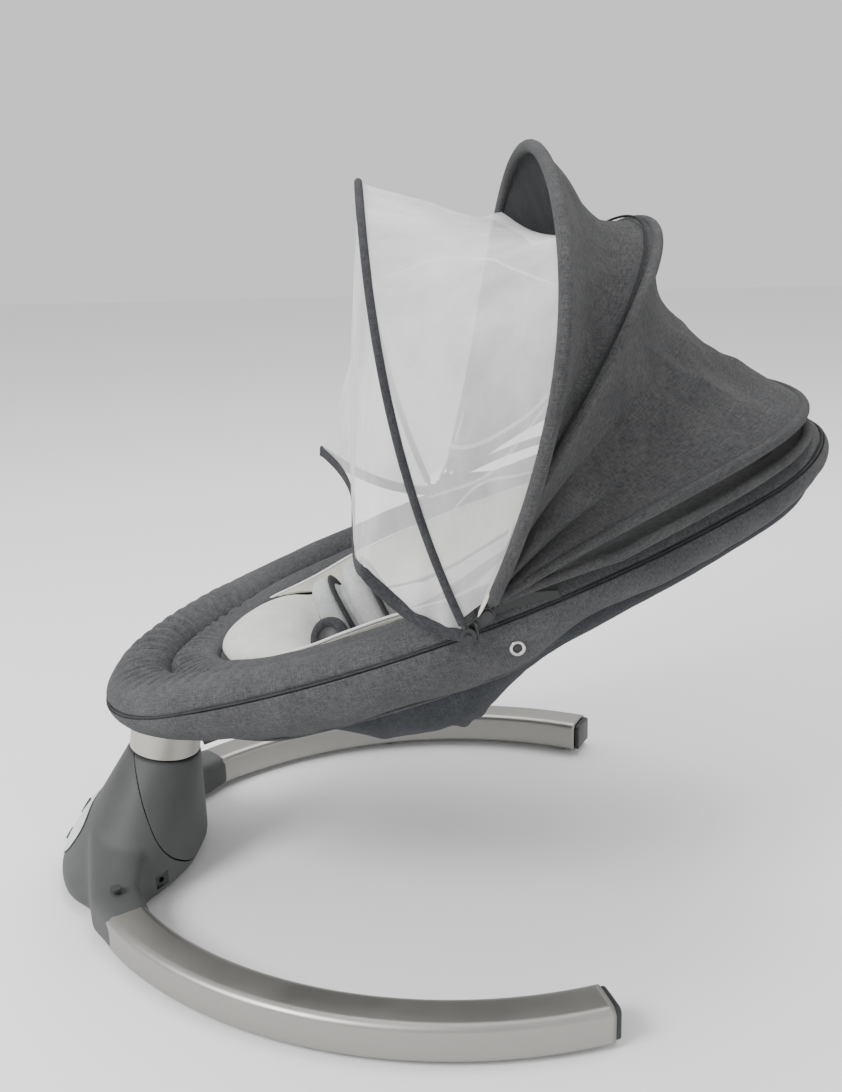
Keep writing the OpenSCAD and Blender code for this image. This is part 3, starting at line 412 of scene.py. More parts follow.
def netting(name):
    """Very fine mesh: a thin veil with faint threads, denser where the cloth gathers, its colour painted
    darker in patches as shade in its folds.
    """
    m = Nodes(name)
    uv, place = m.cloth_uv(), m.place()
    threads = m.math("MAXIMUM", m.wave(uv, 330.0, "X"), m.wave(uv, 330.0, "Y"))
    folds = m.noise(place, 9.0, 3.0, 0.5)
    streaks = m.noise(m.stretched(place, (26, 46, 5)), 1.0, 5.0, 0.7)
    veil = m.spread(m.math("ADD", m.math("MULTIPLY", folds, 0.5), m.math("MULTIPLY", streaks, 0.5)),
                    0.35, 0.68, 0.36, 0.66)
    mesh_cover = m.math("MULTIPLY", m.math("POWER", threads, 6.0), 0.09)
    cover = m.math("ADD", veil, mesh_cover)
    # painted shade: the net is coloured darker where the folds noise is low, as shade in its folds
    colour = m.ramp(folds, [(0.3, (0.78, 0.79, 0.79)), (0.7, (0.92, 0.92, 0.91))])
    m.shade(Base_Color=colour, Roughness=0.7, Alpha=cover, Sheen_Weight=0.3,
            Normal=m.bump(threads, 0.0002, 0.25), Specular_IOR_Level=0.3)
    return m.material


def moulded(name, colour, rough, grain=0.35):
    """Moulded plastic or rubber with a fine eroded grain and slightly worn patches."""
    m = Nodes(name)
    place = m.place()
    fine = m.noise(place, 520.0, 3.0, 0.6)
    broad = m.noise(place, 14.0, 4.0, 0.6)
    scuff = 0.12
    dark = [c * (1 - scuff) for c in colour]
    light = [min(1, c * (1 + scuff) + 0.01) for c in colour]
    tone = m.ramp(broad, [(0.3, dark), (0.7, light)])
    worn = m.spread(broad, 0.3, 0.7, rough - 0.06, rough + 0.06)
    m.shade(Base_Color=tone, Roughness=worn, Normal=m.bump(fine, 0.0003, grain), Specular_IOR_Level=0.4)
    return m.material


def metal(name, colour, rough, depth=0.25):
    """Metal with a finely blasted surface and faint handling marks."""
    m = Nodes(name)
    place = m.place()
    blasted = m.noise(m.stretched(place, (60, 60, 60)), 20.0, 4.0, 0.7)
    smudge = m.noise(place, 9.0, 5.0, 0.65)
    worn = m.spread(m.math("ADD", m.math("MULTIPLY", blasted, 0.4), smudge), 0.4, 1.0,
                    rough - 0.08, rough + 0.1)
    tone = m.ramp(smudge, [(0.3, [c * 0.93 for c in colour]), (0.7, colour)])
    m.shade(Base_Color=tone, Metallic=1.0, Roughness=worn, Normal=m.bump(blasted, 0.0002, depth))
    return m.material


def board_material():
    m = Nodes("Circuit_board")
    place = m.place()
    tracks = m.add("ShaderNodeTexBrick", {"Vector": place, "Scale": 160.0, "Mortar Size": 0.02,
                                          "Color1": (0.02, 0.16, 0.07, 1), "Color2": (0.02, 0.20, 0.09, 1),
                                          "Mortar": (0.05, 0.32, 0.14, 1)}).outputs["Color"]
    m.shade(Base_Color=tracks, Roughness=0.35, Normal=m.bump(m.noise(place, 700.0), 0.0002, 0.3))
    return m.material


seat_cloth = woven("Seat_cloth", (0.036, 0.037, 0.039), (0.112, 0.113, 0.116))
canopy_cloth = woven("Canopy_cloth", (0.030, 0.031, 0.033), (0.098, 0.098, 0.100))
trim_cloth = woven("Trim_tape", (0.022, 0.023, 0.026), (0.072, 0.074, 0.080), thread=0.8)
# the seat's cloth painted darker for the tub under the seat: painted shade where it faces down and back
shaded_pouch_cloth = woven("Pouch_cloth_painted_shade", (0.020, 0.022, 0.026), (0.056, 0.060, 0.067))
lining_cloth = woven("Lining_cloth", (0.012, 0.013, 0.015), (0.034, 0.036, 0.040), thread=0.9)
cream_velvet = velvet("Insert_velvet", (0.50, 0.50, 0.48), (0.68, 0.68, 0.66))
cream_cloth = woven("Insert_side_cloth", (0.66, 0.64, 0.55), (0.80, 0.78, 0.69), thread=0.9, fleck=0.5)
pale_cloth = woven("Harness_cloth", (0.42, 0.43, 0.43), (0.60, 0.61, 0.61), thread=1.0, fleck=0.7)
white_piping = woven("White_piping", (0.70, 0.70, 0.69), (0.85, 0.85, 0.84), thread=0.8, fleck=0.3)
webbing = woven("Webbing", (0.030, 0.032, 0.036), (0.060, 0.063, 0.068), thread=1.6, rough=0.8)
net_mesh = netting("Net_mesh")
tower_plastic = moulded("Tower_plastic", (0.058, 0.060, 0.060), 0.6, grain=0.25)
dark_plastic = moulded("Dark_plastic", (0.018, 0.019, 0.020), 0.45)
pale_plastic = moulded("Panel_plastic", (0.62, 0.64, 0.66), 0.4, grain=0.15)
rubber = moulded("Rubber", (0.022, 0.022, 0.022), 0.8, grain=0.6)
arm_metal = metal("Arm_aluminium", (0.36, 0.355, 0.335), 0.42, depth=0.12)
collar_metal = metal("Collar_metal", (0.46, 0.44, 0.40), 0.36, depth=0.12)
steel = metal("Steel", (0.58, 0.57, 0.55), 0.28)
brass = metal("Brass", (0.68, 0.50, 0.22), 0.3)
hoop_metal = moulded("Hoop_coat", (0.03, 0.03, 0.033), 0.4, grain=0.2)
board_green = board_material()


def screw_material():
    """Bright steel on the left arm; on the right arm the same screws are painted dark and not metallic, as
    painted shade.
    """
    m = Nodes("Screw_steel_lit_and_shaded")
    side = m.add("ShaderNodeSeparateXYZ", {0: m.place()}).outputs["Y"]
    lit_side = m.math("GREATER_THAN", side, 0.0)
    # painted shade: one steel, a lit copy on the left arm and a dark shaded copy on the right
    colour = m.mix(lit_side, (0.03, 0.03, 0.032, 1), (0.58, 0.57, 0.55, 1))
    m.shade(Base_Color=colour, Roughness=0.35, Metallic=lit_side)
    return m.material


def dress(names, material, bevel=0.0):
    """Gives CAD nodes a finish, and rounds their edges if bevel is set, in millimetres."""
    for name in names:
        node = nodes[name]
        node.data.materials.clear()
        node.data.materials.append(material)
        if bevel:
            modifier = node.modifiers.new("Bevel", "BEVEL")
            modifier.width = bevel * MM
            modifier.segments = 3
            modifier.limit_method = "ANGLE"
            modifier.angle_limit = math.radians(35)


dress(["tower_base_plate", "power_key", "speed_key", "music_key"], tower_plastic)
dress(["swing_collar"], collar_metal, bevel=1.2)
dress(["base_feet", "speaker"], rubber)
dress(["socket_screws"], screw_material())
dress(["drive_motor", "motor_bracket", "lower_bearing", "upper_bearing", "swing_shaft",
       "sector_gear", "support_fork", "seat_frame_lower", "seat_frame_upper", "recline_bolts"], steel)
dress(["seat_hub"], tower_plastic)
dress(["power_inlet", "buckle", "buckle_button", "strap_hook", "canopy_bracket_right",
       "canopy_bracket_left", "hoop_eyes_rear", "hoop_eyes_mid", "hoop_eyes_front", "net_eyes",
       "canopy_pins"],
      dark_plastic)
dress(["control_board"], board_green)
dress(["motor_pinion"], brass)
dress(["canopy_hoop_rear", "canopy_hoop_mid", "canopy_hoop_front", "net_hoop"], hoop_metal)


# ---- floor base ----
BASE_WIDTH, ARM_WIDTH, FOOT_HEIGHT = 570, 33, 6
ARM_MIDDLE = np.array([0, 14.0])
ARM_HALF = np.array([ARM_WIDTH / 2, 14.0])
RING_HALF = BASE_WIDTH / 2 - ARM_WIDTH / 2
END_RADIUS = 0.875 * RING_HALF
END_CENTRE = -0.326 * RING_HALF
SIDE_RADIUS = (END_CENTRE ** 2 + RING_HALF ** 2 - END_RADIUS ** 2) / (2 * (RING_HALF - END_RADIUS))
SIDE_CENTRE = SIDE_RADIUS - RING_HALF
JOIN_ANGLE = 180 - math.degrees(math.atan2(SIDE_CENTRE, -END_CENTRE))
TIP_ANGLE, ARM_END_ANGLE = 68.7, 168


def arm_point(angle, across, height, side):
    """A point of the arm on one side: across is outwards from its centre line."""
    a = np.radians(angle)
    on_side = np.asarray(angle) <= JOIN_ANGLE
    r = np.where(on_side, SIDE_RADIUS, END_RADIUS) + across
    x = np.where(on_side, 0, END_CENTRE) + r * np.cos(a)
    y = np.where(on_side, -SIDE_CENTRE, 0) + r * np.sin(a)
    return base_at(x, side * y, FOOT_HEIGHT + height)


def rounded(corners, radius):
    """A closed outline whose corners are rounded, each by its own radius."""
    out = []
    for i, (x, y) in enumerate(corners):
        p, r = np.array([x, y], float), radius[i]
        a = unit(np.array(corners[i - 1], float) - p)
        b = unit(np.array(corners[(i + 1) % len(corners)], float) - p)
        for t in np.linspace(0, 1, 5):
            out.append(bent(t, p + r * a, p, p + r * b))
    return np.array(out)


ARM_OUTLINE = rounded(
    [(16.5, 0), (16.5, 25.2), (12.8, 27.6), (0, 28), (-12.8, 27.6), (-16.5, 25.2), (-16.5, 0)],
    [2.5, 2.3, 1.8, 5.5, 1.8, 2.3, 2.5])


def arm_sweep(name, angles, side, material, shrink=0.0, caps=False):
    """The arm's outline carried along its curve; shrink makes it smaller by that share."""
    outline = ARM_MIDDLE + (ARM_OUTLINE - ARM_MIDDLE) * (1 - shrink)
    if side < 0:
        outline = outline[::-1]
    points = arm_point(angles[:, None], outline[None, :, 0], outline[None, :, 1], side)
    return grid_object(name, points, material, ring_cols=True, caps=caps)


def build_arms():
    """The two curved tubes of the floor base, each with its end cap."""
    angles = np.concatenate([np.linspace(TIP_ANGLE, JOIN_ANGLE - 0.4, 90),
                             np.linspace(JOIN_ANGLE + 0.4, ARM_END_ANGLE, 44)])
    for side, word in SIDES:
        arm = arm_sweep(f"Arm_{word}", angles, side, arm_metal)
        settle(arm, ("SOLIDIFY", {"thickness": 2 * MM, "offset": -1}))
        mount(arm, "base", "arm_metal", f"base_arm_{word}")
        cap = arm_sweep(f"Arm_cap_{word}", np.linspace(TIP_ANGLE - 0.85, TIP_ANGLE - 0.02, 3), side,
                        dark_plastic, caps=True)
        settle(cap, bevelled(1.4, 3))
        plug = arm_sweep(f"Arm_plug_{word}", np.linspace(TIP_ANGLE - 0.4, TIP_ANGLE + 2.5, 6), side,
                         dark_plastic, shrink=0.17, caps=True)
        cap = joined(f"Arm_cap_{word}", [cap, plug])
        mount(cap, "base", "rubber", f"arm_cap_{word}")


FOOTPRINT_HALF = [(-372, 24), (-368, 44), (-358, 68), (-343, 90), (-322, 105), (-300, 110),
                  (-276, 98), (-262, 78), (-253, 56), (-247, 34), (-245, 14)]
SLAB_LOW, SLAB_HIGH = 6, 19
NECK_RADIUS, NECK_LOW, NECK_HIGH = 34, -24, -17.5
SEAM_POINT, SEAM_LEAN = (-248, 18), math.radians(23.6)
SOCKET_ANGLE, SOCKET_TURN = 139, 10
PANEL_POINT, PANEL_LEAN, PANEL_HALF = (-358, 41), math.radians(58.4), (30, 43)
SHELL_WALL, SEAM_GAP, PANEL_WALL = 2.6, 0.35, 2.4
INLET_POINT, INLET_TURN, INLET_HALF = (-259, -76, 19), math.radians(-39), (7.8, 6.3)

swing_axis = joint_vector("swing")
axis_x = np.cross(WORLD_Y, swing_axis)


def axis_at(x, y, z):
    return spot(joint_vector("swing", "pos_m"), (axis_x, WORLD_Y, swing_axis), (x, y, z))


def smooth_outline(half, count):
    """A closed smooth curve through a half outline and its mirror image."""
    points = np.array(half + [(x, -y) for x, y in half[::-1]], float)
    at = np.arange(count) * len(points) / count
    i, f = at.astype(int), (at % 1)[:, None]
    a, b, c, d = [points[(i + j) % len(points)] for j in (-1, 0, 1, 2)]
    return b + 0.5 * f * (c - a + f * (2 * a - 5 * b + 4 * c - d + f * (3 * (b - c) + d - a)))


def hull_object(name, points, material):
    """The closed convex skin round the points."""
    shape = bmesh.new()
    for point in np.asarray(points).reshape(-1, 3):
        shape.verts.new(point)
    result = bmesh.ops.convex_hull(shape, input=shape.verts)
    inside = {v for v in result["geom_interior"] if isinstance(v, bmesh.types.BMVert)}
    bmesh.ops.delete(shape, geom=list(inside), context="VERTS")
    return object_from(shape, name, material)


def keep_side(shape, point, normal):
    """Cuts the mesh on a plane and keeps what lies on the normal's side."""
    bmesh.ops.bisect_plane(shape, geom=shape.verts[:] + shape.edges[:] + shape.faces[:], dist=1e-6,
                           plane_co=Vector(point), plane_no=Vector(normal), clear_inner=True)


def open_window(shape, centre, axes, half, depth):
    """Cuts a rectangular opening: axes are its two sides and the way through it."""
    def faces_within(margin):
        near = []
        for face in shape.faces:
            way = np.array(face.calc_center_median()) - centre
            if way @ axes[2] > -depth and all(abs(way @ a) < h * MM + margin for a, h in zip(axes[:2], half)):
                near.append(face)
        return near

    for axis, reach in zip(axes[:2], half):
        for sign in (-1, 1):
            near = faces_within(0.02)
            geom = list({e for f in near for e in f.edges} | {v for f in near for v in f.verts}) + near
            edge = Vector(centre + sign * reach * MM * axis)
            bmesh.ops.bisect_plane(shape, geom=geom, dist=1e-6, plane_co=edge, plane_no=Vector(axis))
    bmesh.ops.delete(shape, geom=faces_within(0), context="FACES")


def tower_skin():
    """The tower's outer skin: a wide round foot drawn up to the neck, with a socket round each arm."""
    ring = smooth_outline(FOOTPRINT_HALF, 120)
    cos, sin = np.cos(circle(96)), np.sin(circle(96))
    body = hull_object("Tower_skin", np.concatenate(
        [base_at(ring[:, 0], ring[:, 1], z) for z in (SLAB_LOW, SLAB_HIGH)]
        + [axis_at(NECK_RADIUS * cos, NECK_RADIUS * sin, z) for z in (NECK_LOW, NECK_HIGH)]), tower_plastic)
    parts = [body]
    for side in (-1, 1):
        slices = []
        for angle, margin in ((SOCKET_ANGLE, 2.4), (SOCKET_ANGLE + SOCKET_TURN, 6), (ARM_END_ANGLE - 1, 5)):
            grow = ARM_MIDDLE + (ARM_OUTLINE - ARM_MIDDLE) * (1 + margin / ARM_HALF)
            low = np.maximum(grow[:, 1], -3)
            slices.append(arm_point(np.full(len(grow), float(angle)), grow[:, 0], low, side))
        parts.append(hull_object("Tower_socket", np.concatenate(slices[:2]), tower_plastic))
        block = [base_at(x, side * y, z) for x in (-330, -276) for y in (20, 60) for z in (SLAB_LOW, 62)]
        blend = np.concatenate(slices[1:] + [np.array(block)])
        parts.append(hull_object("Tower_blend", blend, tower_plastic))
    skin = joined("Tower_skin", parts)
    settle(skin, ("REMESH", {"mode": "VOXEL", "voxel_size": 1.6 * MM}),
           ("SMOOTH", {"factor": 0.5, "iterations": 12}))
    crisp = vertex_places(skin)
    settle(skin, ("SMOOTH", {"factor": 0.5, "iterations": 60}))
    share = 1 - smooth_step(crisp[:, 2:], 0.078, 0.100)
    place_vertices(skin, crisp + (vertex_places(skin) - crisp) * share)
    return skin


def build_tower():
    """Both moulded shells, cut from one skin on the leaning seam, with the opening for the inlet."""
    skin = tower_skin()
    seam_normal = np.array([math.cos(SEAM_LEAN), 0, math.sin(SEAM_LEAN)])
    seam = base_at(SEAM_POINT[0], 0, SEAM_POINT[1])
    panel_out = np.array([-math.sin(PANEL_LEAN), 0, math.cos(PANEL_LEAN)])
    panel_up = np.array([math.cos(PANEL_LEAN), 0, math.sin(PANEL_LEAN)])
    inlet_out = np.array([math.cos(INLET_TURN), math.sin(INLET_TURN), 0])
    inlet_side = np.array([-math.sin(INLET_TURN), math.cos(INLET_TURN), 0])
    for word, sign in (("front", -1), ("rear", 1)):
        shape = bmesh.new()
        shape.from_mesh(skin.data)
        keep_side(shape, base_at(0, 0, SLAB_LOW - SHELL_WALL), WORLD_Z)
        keep_side(shape, seam + sign * SEAM_GAP * MM * seam_normal, sign * seam_normal)
        open_window(shape, base_at(*INLET_POINT), (inlet_side, WORLD_Z, inlet_out), INLET_HALF, 0.012)
        neck = axis_at(0, 0, NECK_HIGH)
        top = [f for f in shape.faces if np.linalg.norm(np.array(f.calc_center_median()) - neck) < 0.028]
        bmesh.ops.delete(shape, geom=top, context="FACES")
        shell = object_from(shape, f"Tower_{word}", tower_plastic)
        settle(shell, ("SOLIDIFY", {"thickness": SHELL_WALL * MM, "offset": -1}))
        mount(shell, "base", "tower_plastic", f"tower_{word}_shell")
    build_panel(skin, panel_up, WORLD_Y, panel_out)
    bpy.data.objects.remove(skin)


def build_panel(skin, up, across, out):
    """The pale control panel: a rounded plate that follows the tower's curved outer face."""
    bpy.context.view_layer.update()
    tree = BVHTree.FromObject(skin, bpy.context.evaluated_depsgraph_get())
    centre = base_at(PANEL_POINT[0], 0, PANEL_POINT[1])
    reach = np.linspace(0, 1, 16)[:, None]
    turn = circle(90)[None, :]
    flat = spot(centre, (up, across, out), (PANEL_HALF[0] * reach * squared(np.cos(turn), 0.8),
                                            PANEL_HALF[1] * reach * squared(np.sin(turn), 0.8), 0))
    points = np.zeros(flat.shape)
    lift = 0.9 * MM
    key_tops = [np.max(vertex_places(nodes[key]) @ out) for key in ("power_key", "speed_key", "music_key")]
    level = min(key_tops) - lift
    for index in np.ndindex(flat.shape[:2]):
        start = Vector(flat[index] + 0.06 * out)
        hit, normal = tree.ray_cast(start, Vector(-out), 0.2)[:2]
        place = np.array(hit) + lift * np.array(normal) if hit else flat[index]
        points[index] = place + max(0, level - place @ out) * (1 - float(reach[index[0], 0]) ** 3) * out
    plate = grid_object("Control_panel", points, pale_plastic, ring_cols=True)
    facing = math.copysign(1, sum(Vector(out).dot(face.normal) for face in plate.data.polygons))
    settle(plate, ("SOLIDIFY", {"thickness": PANEL_WALL * MM, "offset": -facing}), bevelled(0.6, 2))
    groove = tube_object("Panel_groove", points[-1] - 0.7 * MM * out, 0.9, dark_plastic, closed=True, sides=8)
    mount(plate, "base", "panel_plastic", "control_panel")
    mount(groove, "base", "tower_plastic")


# ---- seat rim ----
RIM_LENGTH, FOOT_R, HEAD_R, SIDE_R, OVERHANG, ROLL_R = 648, 120, 128, 597, 28, 22
SEAM_TURN = math.radians(12)
ROLL_OVAL = 1.04
FOOT_S = FOOT_R - OVERHANG
HEAD_S = RIM_LENGTH - OVERHANG - HEAD_R
RIM_S0 = (((SIDE_R - FOOT_R) ** 2 - (SIDE_R - HEAD_R) ** 2 - FOOT_S ** 2 + HEAD_S ** 2)
          / (2 * (HEAD_S - FOOT_S)))
RIM_Y0 = math.sqrt((SIDE_R - FOOT_R) ** 2 - (RIM_S0 - FOOT_S) ** 2)
FOOT_TURN = math.atan2(RIM_Y0, FOOT_S - RIM_S0)
HEAD_TURN = math.atan2(RIM_Y0, HEAD_S - RIM_S0)
RECLINE_START, RECLINE_END = (298, 350)


def rim_path(count):
    """The rim's centre line from the foot end round the right side: s, y, outward s, outward y, run."""
    arcs = [(FOOT_S, 0, FOOT_R, math.pi, 2 * math.pi - FOOT_TURN),
            (RIM_S0, RIM_Y0, SIDE_R, 2 * math.pi - FOOT_TURN, 2 * math.pi - HEAD_TURN),
            (HEAD_S, 0, HEAD_R, -HEAD_TURN, HEAD_TURN),
            (RIM_S0, -RIM_Y0, SIDE_R, HEAD_TURN, FOOT_TURN),
            (FOOT_S, 0, FOOT_R, FOOT_TURN, math.pi)]
    lengths = np.array([r * (b - a) for _, _, r, a, b in arcs])
    ends = np.cumsum(lengths)
    run = np.arange(count) / count * ends[-1]
    which = np.searchsorted(ends, run, side="right")
    s0, y0, r, a, _ = np.array(arcs)[which].T
    angle = a + (run - (ends - lengths)[which]) / r
    return s0 + r * np.cos(angle), y0 + r * np.sin(angle), np.cos(angle), np.sin(angle), run


def rim_width(s):
    """Half the rim's width at s."""
    s = np.asarray(s, float)
    foot = np.sqrt(np.maximum(0, FOOT_R ** 2 - (s - FOOT_S) ** 2))
    head = np.sqrt(np.maximum(0, HEAD_R ** 2 - (s - HEAD_S) ** 2))
    side = np.sqrt(SIDE_R ** 2 - (s - RIM_S0) ** 2) - RIM_Y0
    return np.where(s < FOOT_S + FOOT_R * math.cos(FOOT_TURN), foot,
                    np.where(s > HEAD_S + HEAD_R * math.cos(HEAD_TURN), head, side))


def rim_sweep(path, outward, normal):
    """World points at path positions, moved outward and up by (rows, cols) arrays of millimetres."""
    s, y, os, oy, _ = path
    return rim_at(s[:, None] + outward * os[:, None], y[:, None] + outward * oy[:, None], normal)


def mount_on_seat(obj, slot, *replaced):
    """Passes a piece to mount_bending with the line of the fold between the seat and the backrest."""
    line = (tuple(rim_at(RECLINE_START, 0, 0)), tuple(rim_at(RECLINE_END, 0, 0)))
    mount_bending(obj, ("seat", "backrest"), line, slot, *replaced)


def pleats(run, width, seed):
    """Gathered cloth along a run: broad crowns between sharp creases, from -1 to 1, of uneven width."""
    phase = run / width * math.pi + 1.3 * np.sin(run / (3.1 * width) + seed)
    phase = phase + 0.8 * np.sin(run / (7.3 * width))
    return 2 * np.abs(np.sin(phase)) ** 0.7 - 1


def foot_share(path, low=20, high=150):
    """1 at the foot end, falling to 0 from s = low to s = high."""
    return 1 - smooth_step(path[0], low, high)


def build_rim_roll():
    """The foam-filled edge of the seat cover, with gathers round the foot and a seam along its outside."""
    path = rim_path(560)
    turn = circle(76)[None, :]
    run = path[4][:, None]
    foot = foot_share(path)[:, None]
    upper = np.clip(np.sin(turn), 0, 1)
    gather = pleats(run, 15, 0.4) * (0.7 + 0.3 * np.sin(run / 41 + 1))
    gather_reach = bump_at(turn, math.radians(118), 0.62)
    radius = ROLL_R - 1.6 + 4.6 * foot * gather * gather_reach
    radius = radius - 2.2 * bump_at(turn, SEAM_TURN, 0.075) - 0.8 * upper * (1 - foot)
    inward = np.where(np.cos(turn) < 0, ROLL_OVAL + 0.95 * foot, ROLL_OVAL)
    points = rim_sweep(path, radius * np.cos(turn) * inward, radius * np.sin(turn))
    outward = unit(points - rim_sweep(path, 0, 0))
    points += MM * 1.5 * smooth_noise(points, 55, 1)[..., None] * outward
    roll = grid_object("Rim_roll", points, seat_cloth, ring_rows=True, ring_cols=True)
    seam_radius = ROLL_R - 1.5
    seam_out = seam_radius * math.cos(SEAM_TURN) * ROLL_OVAL
    line = rim_sweep(path, seam_out, seam_radius * math.sin(SEAM_TURN))[:, 0]
    piping = tube_object("Rim_seam", line, 0.9, trim_cloth, closed=True, sides=8)
    roll = joined("Rim_roll", [roll, piping])
    mount_on_seat(roll, "seat_fabric", "rim_roll_lower", "rim_roll_upper")


def build_band():
    """The side band that hangs from the roll's seam round the whole seat, with a turned hem."""
    path = rim_path(520)
    t = np.linspace(0, 1, 26)[None, :]
    foot, head = foot_share(path, 0, 130)[:, None], smooth_step(path[0], 480, 600)[:, None]
    back = smooth_step(path[0], 300, 400)[:, None]
    low = -45 + 9 * foot + 17 * back + 3 * head
    inset = 4 - 24 * foot - 6 * back - 10 * head
    points = rim_sweep(path, bent(t, 22.4, 29 - 7 * foot, inset), bent(t, 3.0, -26 + 8 * back, low))
    fold = smooth_noise(points * [1, 1, 0.4], 42, 5)
    fold = np.sin(t * 2.2) * (1 - 0.4 * foot) * fold
    points += MM * 2.6 * fold[..., None] * grid_normals(points, ring_rows=True)
    band = grid_object("Side_band", points, seat_cloth, ring_rows=True)
    thicken(band, 1.6)
    edge = tube_object("Band_hem", rim_sweep(path, inset, low)[:, 0], 1.6, seat_cloth, closed=True, sides=8)
    band = joined("Side_band", [band, edge])
    mount_on_seat(band, "seat_fabric")


TUB_DEPTH = [[26, 39], [60, 47], [130, 50], [160, 76], [190, 102], [232, 120], [262, 118], [292, 101],
             [314, 85], [336, 73], [362, 62], [440, 50], [540, 43], [606, 36]]
SITTING = [[0, -3], [110, -4], [134, -14], [152, -36], [170, -50], [200, -62], [232, -70], [262, -72],
           [300, -62], [334, -50], [384, -37], [450, -27], [600, -12]]


def along(table, s):
    """A value read from a table of (s, value) rows, its corners smoothed."""
    table = np.array(table, float)
    wide = np.interp(s[..., None] + np.linspace(-9, 9, 7), table[:, 0], table[:, 1])
    return wide.mean(-1)


def build_tub():
    """The fabric tub under the seat, slack at the back where the recline joint lets it hang."""
    s = np.linspace(4, 612, 190)[:, None]
    a = np.radians(np.linspace(-90, 90, 100))[None, :]
    width = rim_width(s) + 4
    depth = np.maximum(along(TUB_DEPTH, s), 26) - 20
    sin, cos = np.sin(a), np.cos(a)
    slack = bump_at(s, 255, 75)
    y = width * squared(sin, 0.70 + 0.25 * slack)
    n = -20 - depth * np.abs(cos) ** (0.68 + 0.10 * slack)
    crease = (bump_at(s - 238 - 26 * np.abs(sin), 0, 5) * 6 + bump_at(s - 286 + 18 * np.abs(sin), 0, 6) * 5
              + bump_at(s - 182 - 10 * np.abs(sin), 0, 5) * 3) * np.abs(cos) ** 0.5
    points = rim_at(s, y, n)
    ripple = smooth_noise(points, 60, 3, 3) * (1 + 2.2 * slack) * np.abs(cos) ** 0.4
    points += MM * (1.6 * ripple + crease * slack)[..., None] * grid_normals(points)
    # the tub takes the darker copy of the seat cloth: painted shade
    tub = grid_object("Seat_tub", points, shaded_pouch_cloth)
    thicken(tub, 2.0)
    mount_on_seat(tub, "seat_fabric", "seat_shell_lower", "seat_shell_upper")


def seat_height(s, y):
    """The height of the sitting surface, deepest on the middle line."""
    b = along(SITTING, s)
    w = np.maximum(30, rim_width(s) - 50)
    return b + (-8 - b) * np.minimum(1, np.abs(y) / w) ** 2.6


PUFF_PRESSURE, PUFF_FRAMES = 4.0, 20


def puff(obj, reach, voxel=4.5):
    """Fills the piece out with a short cloth simulation, keeping each point within reach of where it was."""
    start = bpy.context.scene.frame_current
    settle(obj, ("REMESH", {"mode": "VOXEL", "voxel_size": voxel * MM}))
    before = vertex_places(obj)
    cloth = obj.modifiers.new("Cloth", "CLOTH")
    cloth.settings.use_pressure = True
    cloth.settings.uniform_pressure_force = PUFF_PRESSURE
    cloth.settings.effector_weights.gravity = 0
    cloth.settings.quality = 5
    cloth.settings.tension_stiffness = 30
    cloth.settings.compression_stiffness = 8
    cloth.settings.bending_stiffness = 0.4
    cloth.point_cache.frame_start, cloth.point_cache.frame_end = 1, PUFF_FRAMES
    for number in range(1, PUFF_FRAMES + 1):
        bpy.context.scene.frame_set(number)
    settle(obj)
    shift = vertex_places(obj) - before
    far = np.linalg.norm(shift, axis=1, keepdims=True)
    shift *= np.minimum(1, reach * MM / np.maximum(far, 1e-9))
    place_vertices(obj, before + shift)
    bpy.context.scene.frame_set(start)
    return refine(obj)


def box_uv(obj):
    """Cloth UVs in metres for a remeshed piece, laid flat on the rim's own plane."""
    mesh = obj.data
    layer = mesh.uv_layers.get("Cloth") or mesh.uv_layers.new(name="Cloth")
    co = vertex_places(obj) - rim_origin
    loops = np.zeros(len(mesh.loops), int)
    mesh.loops.foreach_get("vertex_index", loops)
    uv = np.stack([co @ rim_s, co @ rim_y + 0.6 * (co @ rim_n)], -1)[loops]
    layer.data.foreach_set("uv", uv.ravel())
    return obj


def pad_object(name, s, half, bottom, crown, material, middle=0.0, cols=41):
    """A closed crowned pad: half is its half-width at each s, bottom and crown are heights above the seat."""
    t = np.linspace(-1, 1, cols)[None, :]
    s, narrow, half = s[:, None], np.sqrt(np.minimum(1, half / half.max()))[:, None], half[:, None]
    y = middle + half * t
    rise = crown * np.sqrt(np.maximum(0, 1 - t ** 2))
    base = seat_height(s, y) + bottom
    top = rim_at(s, y, base + rise * narrow)
    low = rim_at(s, y, base - 0.2 * rise)[:, ::-1]
    points = np.concatenate([top, low[:, 1:-1]], axis=1)
    return grid_object(name, points, material, ring_cols=True, caps=True)


def build_inner_roll():
    """The padded inner border: broad and gathered round the foot, a second roll along the sides."""
    path = rim_path(520)
    foot = foot_share(path, -10, 120)[:, None]
    turn = circle(56)[None, :]
    start, end = 21 + 17 * foot, 57 + 30 * foot
    centre, half = (start + end) / 2, (end - start) / 2
    high = 12 - 1.0 * foot
    across, up = np.cos(turn), np.sin(turn)
    out = -centre + half * squared(across, 0.85)
    lift = -3 - 2 * foot + high * squared(up, 0.8) - 1.5 * (1 - across) * foot
    gather = pleats(path[4][:, None] + 7, 17, 2.0)
    lift = lift + 4.2 * foot * gather * np.clip(up, 0, 1) * smooth_step(across, -0.9, 0.7)
    points = rim_sweep(path, out, lift)
    points += MM * 1.4 * smooth_noise(points, 48, 9)[..., None] * rim_n
    roll = grid_object("Inner_border", points, seat_cloth, ring_rows=True, ring_cols=True)
    mount_on_seat(roll, "seat_fabric", "side_bolster_right", "side_bolster_left", "foot_pad", "back_pad")


def build_liner():
    """The seat's inner lining, from the foot border down the seat and up the back."""
    s = np.linspace(40, 575, 110)
    half = rim_width(s) - 44
    liner = pad_object("Seat_lining", s, half, -9, 8.5, seat_cloth, cols=45)
    mount_on_seat(liner, "seat_fabric", "seat_liner")


